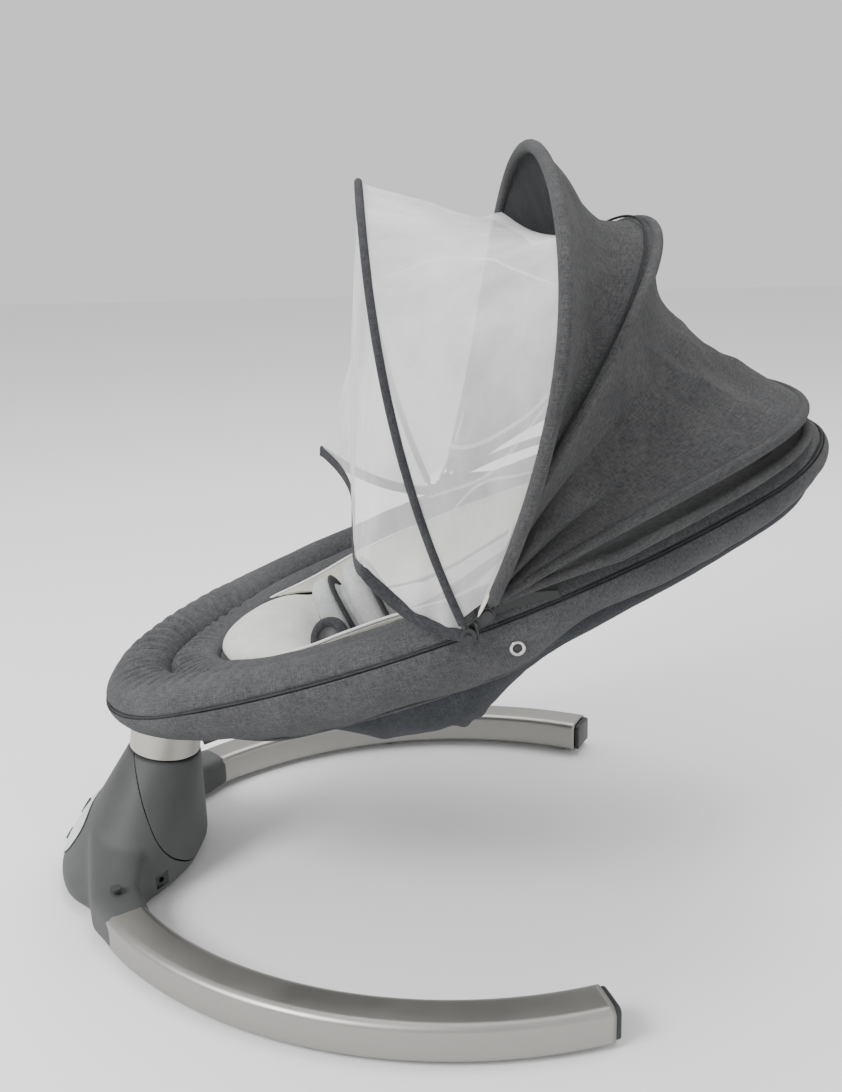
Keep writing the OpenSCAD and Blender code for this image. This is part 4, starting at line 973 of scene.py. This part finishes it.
INSERT_FRONT, INSERT_HEAD, INSERT_HALF, FRONT_ROUND, HEAD_ROUND = 62, 490, 92, 84, 40
FRONT_MIDDLE, HEAD_MIDDLE = INSERT_FRONT + FRONT_ROUND, INSERT_HEAD - HEAD_ROUND


def insert_width(s):
    """Half the insert's width at s, rounded at both ends."""
    front = INSERT_HALF * np.sqrt(np.maximum(0.002, 1 - ((FRONT_MIDDLE - s) / FRONT_ROUND) ** 2))
    head = INSERT_HALF * np.sqrt(np.maximum(0.002, 1 - ((s - HEAD_MIDDLE) / HEAD_ROUND) ** 2))
    return np.where(s < FRONT_MIDDLE, front, np.where(s > HEAD_MIDDLE, head, INSERT_HALF))


def build_insert():
    """The pale velvet insert, one loose crowned pad from the crotch to the head."""
    s = np.concatenate([INSERT_FRONT + FRONT_ROUND * (1 - np.cos(np.linspace(0.02, math.pi / 2, 26))),
                        np.linspace(150, 446, 56),
                        HEAD_MIDDLE + HEAD_ROUND * np.sin(np.linspace(0.05, 1.5, 10))])
    insert = pad_object("Insert", s, insert_width(s), 1.0, 15, cream_velvet, cols=45)
    puff(insert, reach=4)
    box_uv(insert)
    mount_on_seat(insert, "insert_fabric", "insert_lower", "insert_upper")


def build_side_panels():
    """The insert's two raised side panels, each edged with white piping."""
    for side, word in SIDES:
        s = np.linspace(104, 520, 110)[:, None]
        t = np.linspace(0, 1, 22)[None, :]
        inner = 78 + 6 * smooth_step(s, 104, 160)
        outer = rim_width(s) - 60 + 6 * smooth_step(s, 150, 320)
        y = inner + (outer - inner) * t
        sink = seat_height(s, inner) + 9
        edge = 3 + 6 * smooth_step(s, 130, 220)
        n = sink + (edge - sink) * (0.25 * t + 0.75 * t ** 2)
        points = rim_at(s, side * y, n)
        points += MM * 1.2 * smooth_noise(points, 45, 12)[..., None] * rim_n
        panel = grid_object(f"Insert_side_{word}", points, cream_cloth)
        thicken(panel, 2.5)
        edge_line = points[:, -1] + MM * 0.8 * rim_n
        piping = tube_object(f"Insert_piping_{word}", edge_line, 1.5, white_piping, sides=10)
        panel = joined(f"Insert_side_{word}", [panel, piping])
        mount_on_seat(panel, "insert_fabric")


def facing(normal):
    """Two sides of the plane across a normal, and the normal."""
    side = unit(np.cross(normal, seat_x))
    return side, np.cross(normal, side), normal


def ring_object(name, centre, normal, radius, thick, material):
    """A round metal or cloth ring about a normal, as an eyelet has."""
    path = spot(centre, facing(normal), (radius * np.cos(circle(40)), radius * np.sin(circle(40)), 0))
    return tube_object(name, path, thick, material, sides=12, closed=True)


def dome(name, centre, axes, radius, edge, crown, material, rings, count):
    """A round cap: axes are its two sides and the way it faces, edge and crown its heights that way."""
    reach = np.linspace(0, 1, rings)[:, None]
    turn = circle(count)[None, :]
    points = spot(centre, axes, (radius * reach * np.cos(turn), radius * reach * np.sin(turn),
                                 edge + (crown - edge) * (1 - reach ** 2)))
    return grid_object(name, points, material, ring_cols=True)


def build_studs():
    """The eyelet through the side band at each recline bolt: a bright ring round a dark middle."""
    for side, word in SIDES:
        centre = rim_at(HINGE[0], side * (rim_width(HINGE[0]) + 24.0), HINGE[1])
        normal = side * rim_y
        ring = ring_object(f"Stud_ring_{word}", centre, normal, 5.0, 1.5, steel)
        cap = dome(f"Stud_cap_{word}", centre, (rim_s, rim_n, normal), 4.6, -0.8, 0.4, dark_plastic, 8, 32)
        mount(two_tone(f"Stud_{word}", ring, cap), "backrest", "steel")


def build_zip_strips():
    """The pale strip inside each front corner of the canopy, with its dark pull tab."""
    for side, word in SIDES:
        t = np.linspace(0, 1, 30)
        path = seat_at(12 + 28 * t + 5 * arch(t), side * (205 - 3 * t), 316 + 74 * t + 6 * arch(t))
        radius = 4.6 * np.sqrt(np.maximum(0.05, 1 - (2 * t - 1) ** 6))
        strip = tube_object(f"Zip_strip_{word}", path, radius, cream_cloth, flatness=0.35, sides=16)
        pull_path = seat_at(10 + 2 * t, side * 207, 312 - 14 * t)
        pull = tube_object(f"Zip_pull_{word}", pull_path, 3.2 - 1.0 * t, dark_plastic, flatness=0.5, sides=12)
        mount(two_tone(f"Zip_strip_{word}", strip, pull), "canopy_front", "insert_fabric")


def build_crotch_pad():
    """The harness pad's two lobes, each with a dark tape over it."""
    lobes = []
    for word, s0, y0, half_s, half_y, top in (("front", 184, -6, 17, 36, 22), ("rear", 216, -4, 19, 42, 27)):
        a = np.linspace(0, math.pi / 2, 22)[:, None]
        turn = circle(56)[None, :]
        reach = np.cos(a) ** 0.55
        low = seat_height(np.array([float(s0)]), 0)[0]
        points = rim_at(s0 - 12 * np.sin(a) + half_s * reach * squared(np.sin(turn), 0.8),
                        y0 + half_y * reach * squared(np.cos(turn), 0.8),
                        low + (top + 12 - low) * np.sin(a) ** 0.8 - 6)
        lobes.append(grid_object("Crotch_lobe", points, pale_cloth, ring_cols=True, caps=True))
        over = np.linspace(0.04, math.pi - 0.04, 60)
        tape_path = rim_at(s0 - 12 * np.sin(over) + half_s * 0.62, y0 - half_y * 0.97 * np.cos(over),
                           low + (top + 9 - low) * np.sin(over) ** 0.7 - 6)
        tape = tube_object(f"Crotch_tape_{word}", tape_path, 5.2, trim_cloth, flatness=0.42, sides=16)
        mount(tape, "seat", "seat_fabric")
    pad = joined("Crotch_pad", lobes)
    puff(pad, reach=3, voxel=3.5)
    box_uv(pad)
    mount(pad, "seat", "insert_fabric", "crotch_pad")


def build_buckle_trim():
    """The cloth ring round the buckle and the dark plate inside it."""
    centre, normal = rim_at(168, -52, -10), unit(-0.75 * rim_y - 0.35 * rim_s + 0.55 * rim_n)
    mount(ring_object("Buckle_surround", centre, normal, 15, 5.0, trim_cloth), "seat", "seat_fabric")
    plate = dome("Buckle_plate", centre, facing(normal), 14, 1, 5.0, dark_plastic, 10, 40)
    mount(plate, "seat", "black_plastic")


STRAP_THICK, STRAP_HALF = 1.2, 9


def build_shoulder_straps():
    """The two shoulder pads, and the straps that run down from them to the harness pad."""
    for side, word in SIDES:
        s = np.linspace(346, 450, 34)
        half = 17 * np.sqrt(np.maximum(0.02, 1 - np.abs((s - 398) / 53) ** 3))
        shoulder = pad_object(f"Shoulder_pad_{word}", s, half, 15.5, 8, trim_cloth, middle=side * 44, cols=17)
        mount(shoulder, "backrest", "seat_fabric")
        if side > 0:
            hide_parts("shoulder_pads")
        t = np.linspace(0, 1, 40)
        s, y = 352 - 156 * t, side * (44 - 14 * t)
        path = rim_at(s, y, seat_height(s, y) + 17 + 8 * arch(t))
        strap = tube_object(f"Harness_strap_{word}", path, STRAP_THICK, webbing, sides=12)
        widen(strap, path)
        mount_on_seat(strap, "seat_fabric")


def widen(obj, path):
    """Makes a thin tube into flat webbing by spreading it across the seat."""
    co = vertex_places(obj)
    near = np.argmin(np.linalg.norm(co[:, None] - path[None], axis=2), axis=1)
    side = (co - path[near]) @ rim_y
    place_vertices(obj, co + (side * (STRAP_HALF / STRAP_THICK - 1))[:, None] * rim_y)


# ---- canopy and net ----
PIVOT, NET_PIVOT = (19, 316), (4, 302)
FRONT_HOOP = (*PIVOT, 202, 10.5, 342, 244, 175, 0.04)
MID_HOOP = (*PIVOT, 196, 30.5, 316, 214, 150, -0.06)
REAR_HOOP = (*PIVOT, 190, 68, 320, 198, 110, -0.07)
NET_HOOP = (*NET_PIVOT, 208, -11.5, 333, 210, 140, -0.05)
ROD_START = 6.6


def leg_run(k):
    """How far k is from the nearer pivot, from 0 to 2."""
    return np.where(k < 2, k, 4 - k)


def hoop(h, k, extra=0.0):
    """Seat coordinates of a hoop at k from 0, the right pivot, over the top to 4; extra moves it outwards."""
    x0, z0, w0, lean, rise, wide, level, bow_share = h
    lean = math.radians(lean)
    k = np.asarray(k, float)
    leg = leg_run(k)
    side = np.where(k < 2, -1.0, 1.0)
    low_y = w0 + (wide - w0) * np.sin(np.pi / 2 * np.minimum(leg, 1))
    low_z = ROD_START + (level - ROD_START) * np.minimum(leg, 1)
    turn = np.pi / 2 * np.clip(leg - 1, 0, 1)
    y = side * np.where(leg < 1, low_y + extra * np.minimum(leg, 1), (wide + extra) * np.cos(turn))
    up = np.where(leg < 1, low_z, level + (rise + extra - level) * np.sin(turn))
    bow = 4 * bow_share * up * (1 - up / rise)
    return np.stack([x0 + up * math.sin(lean) + bow * math.cos(lean), y,
                     z0 + up * math.cos(lean) - bow * math.sin(lean)], -1)


def in_world(points):
    return seat_at(points[..., 0], points[..., 1], points[..., 2])


def drawn_in(points, middle, sag):
    """Moves points towards the middle by the share sag at each of them."""
    return middle + (points - middle) * (1 - sag)[..., None]


def hoop_cloth(h1, h2, k, u, sag, extra=2.5):
    """Cloth from hoop h1 (u=0) to h2 (u=1), drawn towards their pivots by the share sag at each point."""
    a, b = hoop(h1, k, extra)[None], hoop(h2, k, extra)[None]
    return drawn_in(a + (b - a) * u[:, None, None], np.array([PIVOT[0], 0, PIVOT[1]], float), sag)


def skewed(u, peak):
    """A bump from 0 to 1 and back to 0 whose top is at peak."""
    p = math.log(0.5) / math.log(peak)
    return np.sin(np.pi * np.clip(u, 0, 1) ** p)


K = np.linspace(0.06, 3.94, 240)


def legs(k, reach):
    """1 at the hoops' feet, falling to 0 by k = reach."""
    return 1 - smooth_step(leg_run(k), 0, reach)


def build_canopy_front():
    """The canopy's front section, from the front hoop to the middle one."""
    u = np.linspace(-0.02, 1.02, 60)
    top = 1 - legs(K, 1.5)
    wave = np.abs(np.sin(1.7 * np.pi * u + 0.3)) ** 0.8 - 0.6
    sag = 0.070 * skewed(u, 0.60)[:, None] * (0.25 + 0.75 * top[None])
    sag = sag - 0.030 * wave[:, None] * legs(K, 1.7)[None] * arch(u)[:, None] ** 0.6
    points = in_world(hoop_cloth(FRONT_HOOP, MID_HOOP, K, u, sag))
    fold = smooth_noise(points, 70, 21, 2)
    edge = arch(u)[:, None]
    points += MM * 4.0 * (fold * edge)[..., None] * grid_normals(points)
    cloth = grid_object("Canopy_front", points, canopy_cloth)
    thicken(cloth, 1.2)
    mount_bending(cloth, ("canopy_middle", "canopy_front"), fold_line(MID_HOOP, FRONT_HOOP), "seat_fabric",
                  "canopy_cloth_front")
    return cloth


def build_peak_lining():
    """The darker lining inside the canopy's front section."""
    u = np.linspace(0.02, 0.98, 40)
    sag = 0.078 * skewed(u, 0.60)[:, None] * (1 - 0.75 * legs(K, 1.5))[None]
    points = in_world(hoop_cloth(FRONT_HOOP, MID_HOOP, K, u, sag, extra=-1.5))
    fold = smooth_noise(points, 45, 61, 2) * arch(u)[:, None]
    points += MM * 3.0 * fold[..., None] * grid_normals(points)
    lining = grid_object("Canopy_lining", points, lining_cloth)
    mount_bending(lining, ("canopy_middle", "canopy_front"), fold_line(MID_HOOP, FRONT_HOOP), "seat_fabric")
    return lining


def fold_line(h1, h2):
    """Start and end points across a canopy section, from hoop h1 to hoop h2, halfway up its height."""
    a, b = in_world(hoop(h1, 1.6)), in_world(hoop(h2, 1.6))
    middle = (a + b) / 2
    along_x = (b - a) * np.array([1, 0, 1])
    return tuple(middle - along_x / 2), tuple(middle + along_x / 2)


def build_canopy_rear():
    """The canopy's rear section, slack between the middle hoop and the rear one."""
    u = np.linspace(-0.01, 1.01, 90)
    over = 1 - legs(K, 1.6)[None]
    sag = 0.125 * skewed(u, 0.36)[:, None] * (0.35 + 0.65 * over)
    wave = np.abs(np.sin(2.6 * np.pi * u + 0.5)) ** 0.8 - 0.6
    sag = sag - 0.050 * wave[:, None] * legs(K, 1.75)[None] * arch(u)[:, None] ** 0.6
    points = in_world(hoop_cloth(MID_HOOP, REAR_HOOP, K, u, sag))
    fold = smooth_noise(points, 75, 33, 3)
    edge = arch(u)[:, None]
    drape = np.abs(smooth_noise(points * [1.0, 1.0, 1.6], 120, 37, 2)) ** 0.7
    outward = unit(points - in_world(np.array([60.0, 0, 300])))
    points += MM * ((6.5 * fold - 9.0 * drape + 4) * edge)[..., None] * outward
    cloth = grid_object("Canopy_rear", points, canopy_cloth)
    thicken(cloth, 1.2)
    mount_bending(cloth, ("backrest", "canopy_middle"), fold_line(REAR_HOOP, MID_HOOP), "seat_fabric",
                  "canopy_cloth_rear")
    return cloth


def hoop_edge(name, h, radius, material, body, extra, shift=(0, 0, 0)):
    """A round casing along a hoop, moved outwards by extra and away from its pivots by shift."""
    k = np.linspace(0.03, 3.97, 220)
    path = in_world(hoop(h, k, extra) + np.array(shift, float) * np.minimum(1, leg_run(k))[:, None])
    mount(tube_object(name, path, radius, material), body, "seat_fabric")


def build_bindings():
    """The casings and the piping along the edges of the canopy and the net."""
    hoop_edge("Canopy_front_edge", FRONT_HOOP, 5.4, canopy_cloth, "canopy_front", extra=0.5)
    hoop_edge("Canopy_middle_casing", MID_HOOP, 4.6, canopy_cloth, "canopy_middle", extra=1.0)
    line = np.linspace(0.10, 3.90, 220)
    sag = np.full((1, 220), 0.012)
    seam = in_world(hoop_cloth(FRONT_HOOP, MID_HOOP, line, np.array([0.90]), sag, extra=2.2)[0])
    piping = tube_object("Canopy_middle_piping", seam, 1.1, lining_cloth, sides=8)
    mount(piping, "canopy_middle", "seat_fabric")
    hoop_edge("Canopy_rear_edge", REAR_HOOP, 4.8, canopy_cloth, "backrest", extra=1.0)
    hoop_edge("Canopy_rear_hem", REAR_HOOP, 4.2, canopy_cloth, "backrest", extra=-2.0, shift=(8, 0, -20))
    hoop_edge("Net_edge", NET_HOOP, 3.4, trim_cloth, "net", extra=0.0)


NET_TOP_LIMIT, NET_TOP_SAG = 592, 7


def build_net_top():
    """The net's top, from its own hoop back to the canopy's legs, with a straight sagging edge across."""
    u = np.linspace(0, 1, 70)
    over = 1 - legs(K, 1.2)[None]
    a, b = hoop(NET_HOOP, K, 0.5), hoop(FRONT_HOOP, K, 0.5)
    limit = NET_TOP_LIMIT - NET_TOP_SAG * np.cos(np.clip(b[:, 1] / 185, -1, 1) * np.pi / 2)
    b[:, 2] = np.minimum(b[:, 2], limit)
    flat = a[None] + (b - a)[None] * u[:, None, None]
    sag = 0.004 * skewed(u, 0.5)[:, None] * over
    points = in_world(drawn_in(flat, np.array([10, 0, 308.0]), sag))
    ripple = smooth_noise(points * [1.6, 1, 0.5], 85, 41, 2)
    crease = np.abs(smooth_noise(points * [0.5, 1.4, 1], 95, 47, 2)) ** 0.6
    edge = arch(u)[:, None]
    points += MM * ((2.6 * ripple + 2.4 * crease) * edge)[..., None] * grid_normals(points)
    net = grid_object("Net_top", points, net_mesh)
    hem = net_hem(points)
    bodies, line = ("canopy_front", "net"), fold_line(FRONT_HOOP, NET_HOOP)
    mount_bending(net, bodies, line, "net_fabric", "net_top")
    mount_bending(hem, bodies, line, "net_fabric")
    return net, hem


def net_strip(points, k_run, u_run, width):
    """A narrow doubled fold that follows a run of places on the net, tapered to its ends."""
    rows, cols = points.shape[:2]
    col = (np.asarray(k_run) - K[0]) / (K[-1] - K[0]) * (cols - 1)
    row = np.clip(u_run, 0, 1) * (rows - 1)
    c0, r0 = np.clip(col.astype(int), 0, cols - 2), np.clip(row.astype(int), 0, rows - 2)
    fc, fr = (col - c0)[:, None], (row - r0)[:, None]
    raised = points + MM * 0.8 * grid_normals(points)
    line = ((1 - fr) * ((1 - fc) * raised[r0, c0] + fc * raised[r0, c0 + 1])
            + fr * ((1 - fc) * raised[r0 + 1, c0] + fc * raised[r0 + 1, c0 + 1]))
    side = unit(np.cross(unit(np.gradient(line, axis=0)), grid_normals(points)[r0, c0]))
    taper = arch(np.linspace(0.02, 0.98, len(line))) ** 0.5
    lanes = np.linspace(-0.5, 0.5, 4)
    return line[None] + MM * width * lanes[:, None, None] * (taper[:, None] * side)[None]


NET_FOLDS = ((1.46, 1.30, 0.02, 0.97, 0.10, 2.4), (1.18, 1.06, 0.05, 0.98, -0.16, 3.0),
             (0.80, 1.02, 0.10, 0.98, -0.12, 2.6), (0.62, 0.70, 0.15, 0.97, 0.09, 2.2),
             (2.60, 2.75, 0.05, 0.95, 0.12, 2.6), (3.10, 3.22, 0.06, 0.96, 0.10, 2.4))


def net_hem(points):
    """The folded double edge along the back of the net's top, and the folds where the net doubles."""
    top = np.nonzero(hoop(FRONT_HOOP, K, 0.5)[:, 2] > NET_TOP_LIMIT)[0]
    back = slice(int(len(points) * 0.84), len(points))
    band = (points + MM * 0.7 * grid_normals(points))[back, top[0]:top[-1] + 1]
    pieces = [grid_object("Net_double_edge", band, net_mesh)]
    t = np.linspace(0, 1, 60)
    for k0, k1, u0, u1, dip, width in NET_FOLDS:
        k = k0 + (k1 - k0) * t + dip * arch(t) + 0.012 * np.sin(9 * t + 7 * k0)
        folded = net_strip(points, k, u0 + (u1 - u0) * t, width)
        pieces.append(grid_object("Net_fold", folded, net_mesh))
    return joined("Net_double_edge", pieces)


HEM_NEAR_X, HEM_FAR_X, HEM_PIVOT_Y, HEM_SIDE_Y, HEM_LOW, HEM_CORNER = -72, -113, 208, 198, 322, 354


def hem_path(k):
    """Seat coordinates of the curtain's lower edge, from the right pivot along the front to the left one."""
    k = np.asarray(k, float)
    leg = np.minimum(leg_run(k), 1)
    side = np.where(k < 2, -1.0, 1.0)
    turn = np.pi / 2 * np.clip(k - 1, 0, 2)
    end_x = np.where(k < 2, HEM_NEAR_X, HEM_FAR_X)
    low = [NET_PIVOT[0] + (end_x - NET_PIVOT[0]) * leg,
           side * (HEM_PIVOT_Y - (HEM_PIVOT_Y - HEM_SIDE_Y) * leg),
           NET_PIVOT[1] + (HEM_CORNER - NET_PIVOT[1]) * leg ** 2 + arch(leg)]
    across = np.clip((k - 1) / 2, 0, 1)
    front = [HEM_NEAR_X + (HEM_FAR_X - HEM_NEAR_X) * smooth_step(across, 0.62, 1) - 9 * np.sin(turn),
             -HEM_SIDE_Y * np.cos(turn),
             HEM_LOW + (HEM_CORNER - HEM_LOW) * np.abs(np.cos(turn)) ** 1.5]
    inner = (k >= 1) & (k <= 3)
    return np.stack([np.where(inner, f, l) for f, l in zip(front, low)], -1)


def net_tape(name, path, width):
    """A flat folded tape standing on its edge along a path."""
    tangent = unit(np.gradient(path, axis=0))
    outward = unit(path - in_world(np.array([10.0, 0, 318])))
    up = unit(np.cross(np.cross(tangent, seat_z), tangent))
    turn = circle(24)
    across = squared(np.cos(turn), 0.7)
    thick = 1.7 * np.sin(turn)
    lean = unit(outward - tangent * np.sum(outward * tangent, axis=1, keepdims=True)
                - up * np.sum(outward * up, axis=1, keepdims=True))
    points = path[:, None] + MM * (width / 2 * across[None, :, None] * up[:, None]
                                   + thick[None, :, None] * lean[:, None])
    return grid_object(name, points, trim_cloth, ring_cols=True, caps=True)


def build_net_front():
    """The net's front curtain, from its hoop down to a folded hem."""
    u = np.linspace(0, 1, 70)[:, None, None]
    a, b = hem_path(K)[None], hoop(NET_HOOP, K)[None]
    flat = a + (b - a) * u
    belly = arch(u) * (1 - legs(K, 1.2))[None, :, None]
    points = in_world(flat + np.array([-3, 0, 0]) * belly)
    ripple = np.sin(K * 17 + 2 * np.sin(K * 3))[None] * (1 - u[..., 0]) + smooth_noise(points, 80, 51, 2)
    points += MM * 2.6 * (ripple * arch(u[..., 0]) ** 0.7)[..., None] * grid_normals(points)
    net = grid_object("Net_front", points, net_mesh)
    mount(net, "net", "net_fabric", "net_front")
    k = np.linspace(0.04, 3.96, 260)
    path = hem_path(k)
    for _ in range(14):
        path[1:-1] = (path[:-2] + 2 * path[1:-1] + path[2:]) / 4
    hem = net_tape("Net_hem", in_world(path), 10.5)
    mount(hem, "net", "seat_fabric")
    return net, hem


def run_length(points):
    """The longest run of a grid of points along its rows."""
    return float(np.linalg.norm(np.diff(points, axis=-2), axis=-1).sum(-1).max())


def declare(obj):
    """Measures the flat size of a sheet's own cloth along its two ways; the result is not used."""
    points = GRIDS[obj.name]
    flat = (run_length(points.swapaxes(0, 1)), run_length(points))


# ---- stage ----
def build_stage():
    bpy.ops.mesh.primitive_plane_add(size=12, location=(0, 0, -0.0005))
    floor = bpy.context.object
    floor.name = "Floor"
    m = Nodes("Floor_paint")
    m.shade(Base_Color=(0.90, 0.90, 0.90, 1), Roughness=0.9, Specular_IOR_Level=0.1)
    floor.data.materials.append(m.material)
    world = bpy.data.worlds.new("Studio")
    bpy.context.scene.world = world
    world.use_nodes = True
    world.node_tree.nodes["Background"].inputs["Color"].default_value = (1.0, 1.0, 1.0, 1)
    world.node_tree.nodes["Background"].inputs["Strength"].default_value = 0.90
    for name, place, power, size in (("Key", (-1.7, -1.5, 2.0), 78, 1.1), ("Fill", (1.9, -1.3, 1.3), 7, 1.6),
                                     ("Top", (0.3, 0.7, 2.6), 46, 1.6)):
        light = bpy.data.lights.new(name, "AREA")
        light.energy, light.size = power, size
        lamp = bpy.data.objects.new(name, light)
        lamp.location = place
        lamp.rotation_euler = (Vector((0, 0, 0.3)) - Vector(place)).to_track_quat("-Z", "Y").to_euler()
        bpy.context.scene.collection.objects.link(lamp)


def build_camera():
    """The camera that saw the swing: its place, turn and focal length were worked out from the outline."""
    yaw, pitch, roll = -0.09126, 0.29318, -0.03166
    forward = Vector((math.sin(yaw) * math.cos(pitch), math.cos(yaw) * math.cos(pitch), -math.sin(pitch)))
    right = Vector((math.cos(yaw), -math.sin(yaw), 0))
    up = right.cross(forward)
    level = right * math.cos(roll) + up * math.sin(roll)
    upright = up * math.cos(roll) - right * math.sin(roll)
    camera = bpy.data.cameras.new("Camera")
    camera.lens, camera.sensor_width = 39.9, 36
    obj = bpy.data.objects.new("Camera", camera)
    turn = Matrix((level, upright, -forward)).transposed()
    obj.matrix_world = Matrix.Translation(Vector(base_at(75, -1028, 628.3))) @ turn.to_4x4()
    bpy.context.scene.collection.objects.link(obj)
    bpy.context.scene.camera = obj


build_arms()
build_tower()
build_rim_roll()
build_band()
build_tub()
build_inner_roll()
build_liner()
build_insert()
build_side_panels()
build_crotch_pad()
build_buckle_trim()
build_shoulder_straps()
build_studs()
build_zip_strips()
front_cloth = build_canopy_front()
rear_cloth = build_canopy_rear()
lining = build_peak_lining()
build_bindings()
net_top, net_edge = build_net_top()
net_front, net_hem_piece = build_net_front()
declare(front_cloth)
declare(rear_cloth)
declare(lining)
declare(net_top)
declare(net_front)
build_stage()
build_camera()
